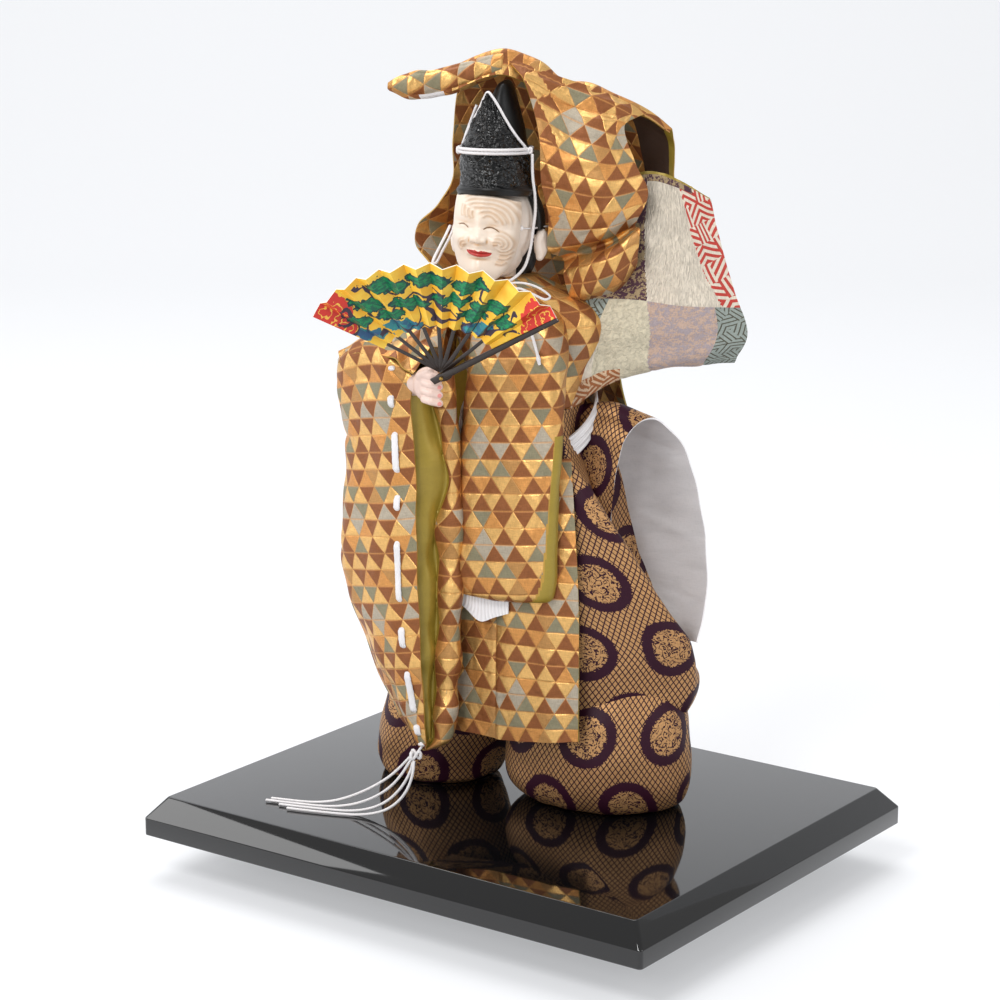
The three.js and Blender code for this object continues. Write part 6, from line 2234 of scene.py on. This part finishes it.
TEMPLE_LOOP = (
    (-33.4, -14.6, 0), (-34.6, -22, -6), (-36.4, -31, -13.4), (-38.4, -38.6, -21), (-38.6, -40, -24),
    (-36.6, -39.2, -23.6), (-34, -32, -16), (-31.6, -23.6, -8), (-30.6, -16.4, -2),
)
HAT_KNOTS = ((21.6, -8, 57), (-28.6, -3, 55.5))
HAT_CORD_TAIL = ((-27, -3, 58), (-24, -1.5, 68), (-20.4, -0.5, 78), (-16.8, 0, 87.5))
BOW_KNOT = (12.6, -36, -35.6)


def tied_knot(name, centre, size, width):
    """A small overhand knot about a place in metres."""
    loop = knot_line(centre, 120, 6, (size, 0.45 * size), (0.75 * size, 0.45 * size), 0.75 * size)
    return cord_piece(name, loop, width, finish(cord_material), closed=True, sides=10)


def make_head_cords():
    """The hat's cord and chevron, the chin cord with its bow and loose end, and the temple loop."""
    white = finish(cord_material)
    width = settings().cords.cord

    def silk(name, route, spacing=0.0006, wide=width, **shape):
        return cord_piece(name, even_line(doll(route), spacing), wide, white, **shape)

    turn = steps(160) * math.tau
    strands = []
    for lift in (-1.25, 1.25):
        x, y = -3.1 + 26.1 * np.cos(turn), 1.5 + 33.6 * np.sin(turn)
        line = np.stack([x, y, 56.2 - 0.06 * y + lift], axis=-1)
        strands.append(cord_piece("strand", doll(on_hat(line)), 0.0024, white, closed=True))
    strands.append(silk("tail", on_hat(HAT_CORD_TAIL), wide=0.002))
    for centre in HAT_KNOTS:
        strands.append(tied_knot("knot", doll(on_hat(centre)), 2.3, 0.0024))
    band = dress(joined("hat_cord", strands), "hat_band")
    chevron = silk("hat_chevron_cord", on_hat(HAT_CHEVRON), wide=0.0021)
    dress(chevron, "hat_chevron")
    chin = silk("chin_cord_silk", on_head(CHIN_CORD))
    dress(chin, "chin_cord")
    bow = silk("bow_loop", on_head(BOW_LOOP), 0.0005, height=0.0016)
    knot = tied_knot("bow_knot", doll(on_head(BOW_KNOT)), 1.9, width)
    bow = dress(joined("chin_bow_tied", [bow, knot]), "chin_bow")
    loop = silk("temple_loop", on_head(TEMPLE_LOOP), 0.0005, height=0.0017)
    dress(loop, "chin_cord_loop")
    line = even_line(metres(CHIN_END_ROUTE), 0.0005)
    far = along(line) / along(line)[-1]
    swell = 1 + 0.55 * bell(far - CHIN_END_KNOT, 0.035)
    end = cord_piece("chin_cord_tail", line, width * 0.96, white, swell=swell)
    dress(end, "chin_cord_end")
    tuple(doll(on_head(BOW_KNOT)))
    return [band, chevron, chin, bow, loop, end]


# Hand and fan


def make_hand():
    """A loose fist with its wrist in the sleeve."""
    parts = [
        ball((-39, -97, 359), (10.6, 8.8, 12.6)), *limb((-42, -93, 358), (-56, -86, 356), 8.4, 8.4),
        *limb((-56, -86, 356), (-72, -76, 354), 8.4, 8.6),
        *limb((-42, -103, 366), (-33, -107, 370.5), 3.4, 2.9),
    ]
    nails = []
    for i in range(4):
        z = 368 - i * 6
        bend = (-31, -108.8 + 0.5 * abs(i - 1.5), z - 0.5)
        tip = (-25.8, -106.2, z - 2)
        parts += limb((-38, -104.6, z), bend, 3.2, 3.15) + limb(bend, tip, 3.1, 2.7)
        nails.append((tip[0] + 0.6, tip[1] - 1.8, tip[2]))
    matrix = frame_of(lambda points: points)
    hand = melted("right_fist", parts, 0.55, 7, finish(hand_material), matrix)
    layer = hand.data.attributes.new("nail", "FLOAT", "POINT")
    inverse = matrix.inverted()
    values = []
    for vertex in hand.data.vertices:
        place = inverse @ vertex.co
        near = min((((place.x - x) / 1.9) ** 2 + ((place.y - y) / 1.7) ** 2 + ((place.z - z) / 1.7) ** 2)
                   for x, y, z in nails)
        values.append(math.exp(-near ** 2))
    layer.data.foreach_set("value", values)
    return [dress(hand, "right_hand")]


FAN_RADIUS = 102.0
FAN_LEAF_INNER = 0.45
FAN_HALF_SPREAD = math.radians(56.4)
FAN_PLEATS, FAN_STICKS = 11, 8
FAN_PLEAT_DEPTH = 6.4
FAN_PIVOT = (-21.8, -111.5, 370.0)
FAN_UP = Vector((0.139, -0.521, 0.842)).normalized()
FAN_FACE = Vector((0.229, -0.81, -0.54)).normalized()


def on_fan(points):
    """Points of the fan's frame, the pivot at its origin and its face towards -Y, in the doll's frame."""
    across = FAN_UP.cross(FAN_FACE).normalized()
    back = FAN_UP.cross(across).normalized()
    return np.asarray(points, float) @ np.array((across, back, FAN_UP)) + FAN_PIVOT


def make_fan():
    """The open fan: a pleated painted leaf, its sticks, a guard and the rivet."""
    matrix = frame_of(on_fan)
    columns = 8 * FAN_PLEATS
    angle = (2 * steps(columns) - 1) * FAN_HALF_SPREAD
    zigzag = np.abs(steps(columns) * 2 * FAN_PLEATS % 2 - 1)
    share = (FAN_LEAF_INNER + (1 - FAN_LEAF_INNER) * steps(40))[:, None] * np.ones(columns + 1)
    radius = share * FAN_RADIUS
    depth = (0.5 - zigzag) * FAN_PLEAT_DEPTH * share
    grid = np.stack([radius * np.sin(angle), depth, radius * np.cos(angle)], axis=-1)
    leaf = cloth_piece(
        "fan_leaf_painted", grid, 1, 0.0007, finish(fan_back_material), finish(fan_material),
        finish(paper_edge_material), grid[..., ::2], lambda points: doll(on_fan(points)), crisp=24,
    )
    dress(leaf, "fan_leaf")

    def stick(turn, reach, width, tip, y, thickness):
        bpy.ops.mesh.primitive_cube_add(size=1, location=(0, y, (reach - 8) / 2))
        bar = bpy.context.object
        bar.scale = (width, thickness, reach + 8)
        settled(bar)
        edit(bar)
        picked(bar, "faces", lambda face: face.normal.z > UPWARD)
        bpy.ops.transform.resize(value=(tip / width, 1, 1), center_override=(0, y, reach))
        bpy.ops.object.mode_set(mode="OBJECT")
        applied(bar, "BEVEL", width=thickness * 0.3, segments=3)
        bar.data.transform(Matrix.Rotation(turn, 4, "Y"))
        return bar

    reach = FAN_LEAF_INNER * FAN_RADIUS + 16
    bars = [
        stick((2 * i / FAN_STICKS - 0.97) * FAN_HALF_SPREAD, reach, 3.6, 2.2, 2.8 - 0.3 * i, 0.85)
        for i in range(FAN_STICKS)
    ]
    guard = stick(FAN_HALF_SPREAD, FAN_RADIUS, 5.6, 3.6, -2.9, 1.7)
    bpy.ops.mesh.primitive_cylinder_add(vertices=32, radius=1.4, depth=10, rotation=(math.pi / 2, 0, 0))
    rivet = settled(bpy.context.object)
    applied(rivet, "BEVEL", width=0.4, segments=3)
    pieces = [leaf]
    for name, piece, material, slot, node in (
        ("fan_ribs", joined("fan_ribs", bars), finish(bamboo_material), "fan_bamboo", "fan_sticks"),
        ("fan_guard_stick", guard, finish(bamboo_material), "fan_bamboo", "fan_guard"),
        ("fan_pin", rivet, finish(brass_material), "fan_brass", "fan_rivet"),
    ):
        piece.name = piece.data.name = name
        piece.data.transform(matrix)
        piece.data.materials.append(material)
        only(piece)
        bpy.ops.object.shade_smooth_by_angle(angle=math.radians(35))
        pieces.append(dress(piece, node))
    return pieces


# Operators and panel


def finished(pieces):
    """Stops with an error if a piece came out empty."""
    for piece in pieces:
        if not len(piece.data.polygons):
            raise RuntimeError(f"{piece.name} came out empty")
    return {"FINISHED"}


class DOLL_OT_stage(bpy.types.Operator):
    """Sets up the camera, the pale floor and the lights"""

    bl_idname = "noh_doll.stage"
    bl_label = "Stage"

    def execute(self, context):
        return finished(make_stage())


class DOLL_OT_tassel(bpy.types.Operator):
    """Builds the tassel's knot and its four cords"""

    bl_idname = "noh_doll.tassel"
    bl_label = "Tassel cords"

    def execute(self, context):
        return finished(make_tassel())


class DOLL_OT_plinth(bpy.types.Operator):
    """Builds the black lacquered plinth"""

    bl_idname = "noh_doll.plinth"
    bl_label = "Plinth"

    def execute(self, context):
        return finished(make_plinth())


class DOLL_OT_hakama(bpy.types.Operator):
    """Builds the hakama with its wing and its two puffed legs"""

    bl_idname = "noh_doll.hakama"
    bl_label = "Hakama"

    def execute(self, context):
        return finished(make_hakama())


class DOLL_OT_sash(bpy.types.Operator):
    """Builds the white sash and its folded end"""

    bl_idname = "noh_doll.sash"
    bl_label = "Sash"

    def execute(self, context):
        return finished(make_sash())


class DOLL_OT_robe_body(bpy.types.Operator):
    """Builds the robe's shoulders, bloused front, skirt and back"""

    bl_idname = "noh_doll.robe_body"
    bl_label = "Robe body"

    def execute(self, context):
        return finished(make_robe_body())


class DOLL_OT_hanging_sleeve(bpy.types.Operator):
    """Builds the hanging right sleeve with its facing and lacing"""

    bl_idname = "noh_doll.hanging_sleeve"
    bl_label = "Hanging sleeve"

    def execute(self, context):
        return finished(make_hanging_sleeve())


class DOLL_OT_raised_sleeve(bpy.types.Operator):
    """Builds the left sleeve that is thrown up over the head"""

    bl_idname = "noh_doll.raised_sleeve"
    bl_label = "Raised sleeve"

    def execute(self, context):
        return finished(make_raised_sleeve())


class DOLL_OT_patchwork_sleeve(bpy.types.Operator):
    """Builds the patchwork sleeve of the under-robe"""

    bl_idname = "noh_doll.patchwork_sleeve"
    bl_label = "Patchwork sleeve"

    def execute(self, context):
        return finished(make_patchwork_sleeve())


class DOLL_OT_head(bpy.types.Operator):
    """Builds the head and the hair"""

    bl_idname = "noh_doll.head"
    bl_label = "Head and hair"

    def execute(self, context):
        return finished(make_head())


class DOLL_OT_mask(bpy.types.Operator):
    """Builds the old man's mask and its string"""

    bl_idname = "noh_doll.mask"
    bl_label = "Mask"

    def execute(self, context):
        return finished(make_mask())


class DOLL_OT_hat(bpy.types.Operator):
    """Builds the tall black hat"""

    bl_idname = "noh_doll.hat"
    bl_label = "Hat"

    def execute(self, context):
        return finished(make_hat())


class DOLL_OT_head_cords(bpy.types.Operator):
    """Builds the white cords of the hat and the chin"""

    bl_idname = "noh_doll.head_cords"
    bl_label = "Head cords"

    def execute(self, context):
        return finished(make_head_cords())


class DOLL_OT_hand(bpy.types.Operator):
    """Builds the right hand"""

    bl_idname = "noh_doll.hand"
    bl_label = "Hand"

    def execute(self, context):
        return finished(make_hand())


class DOLL_OT_fan(bpy.types.Operator):
    """Builds the open fan"""

    bl_idname = "noh_doll.fan"
    bl_label = "Fan"

    def execute(self, context):
        return finished(make_fan())


STEPS = (
    DOLL_OT_stage, DOLL_OT_tassel, DOLL_OT_head_cords, DOLL_OT_plinth, DOLL_OT_hakama, DOLL_OT_sash,
    DOLL_OT_robe_body, DOLL_OT_hanging_sleeve, DOLL_OT_raised_sleeve, DOLL_OT_patchwork_sleeve,
    DOLL_OT_head,
    DOLL_OT_mask, DOLL_OT_hat, DOLL_OT_hand, DOLL_OT_fan,
)
GROUPS = (
    PlinthSettings, BrocadeSettings, HakamaSettings, PatchworkSettings, CordSettings, HeadSettings,
    FanSettings,
    StageSettings, DollSettings,
)


class DOLL_PT_panel(bpy.types.Panel):
    """Lists the steps that build the doll"""

    bl_idname = "DOLL_PT_panel"
    bl_label = "Noh doll"
    bl_space_type = "VIEW_3D"
    bl_region_type = "UI"
    bl_category = "Noh doll"

    def draw(self, context):
        for step in STEPS:
            self.layout.operator(step.bl_idname)


def register():
    for kind in (*GROUPS, *STEPS, DOLL_PT_panel):
        bpy.utils.register_class(kind)
    bpy.types.Scene.noh_doll = PointerProperty(type=DollSettings)


def unregister():
    del bpy.types.Scene.noh_doll
    for kind in reversed((*GROUPS, *STEPS, DOLL_PT_panel)):
        bpy.utils.unregister_class(kind)


def main():
    register()
    for step in STEPS:
        name = step.bl_idname.split(".")[1]
        getattr(bpy.ops.noh_doll, name)()
    deselect()


if __name__ == "__main__":
    main()
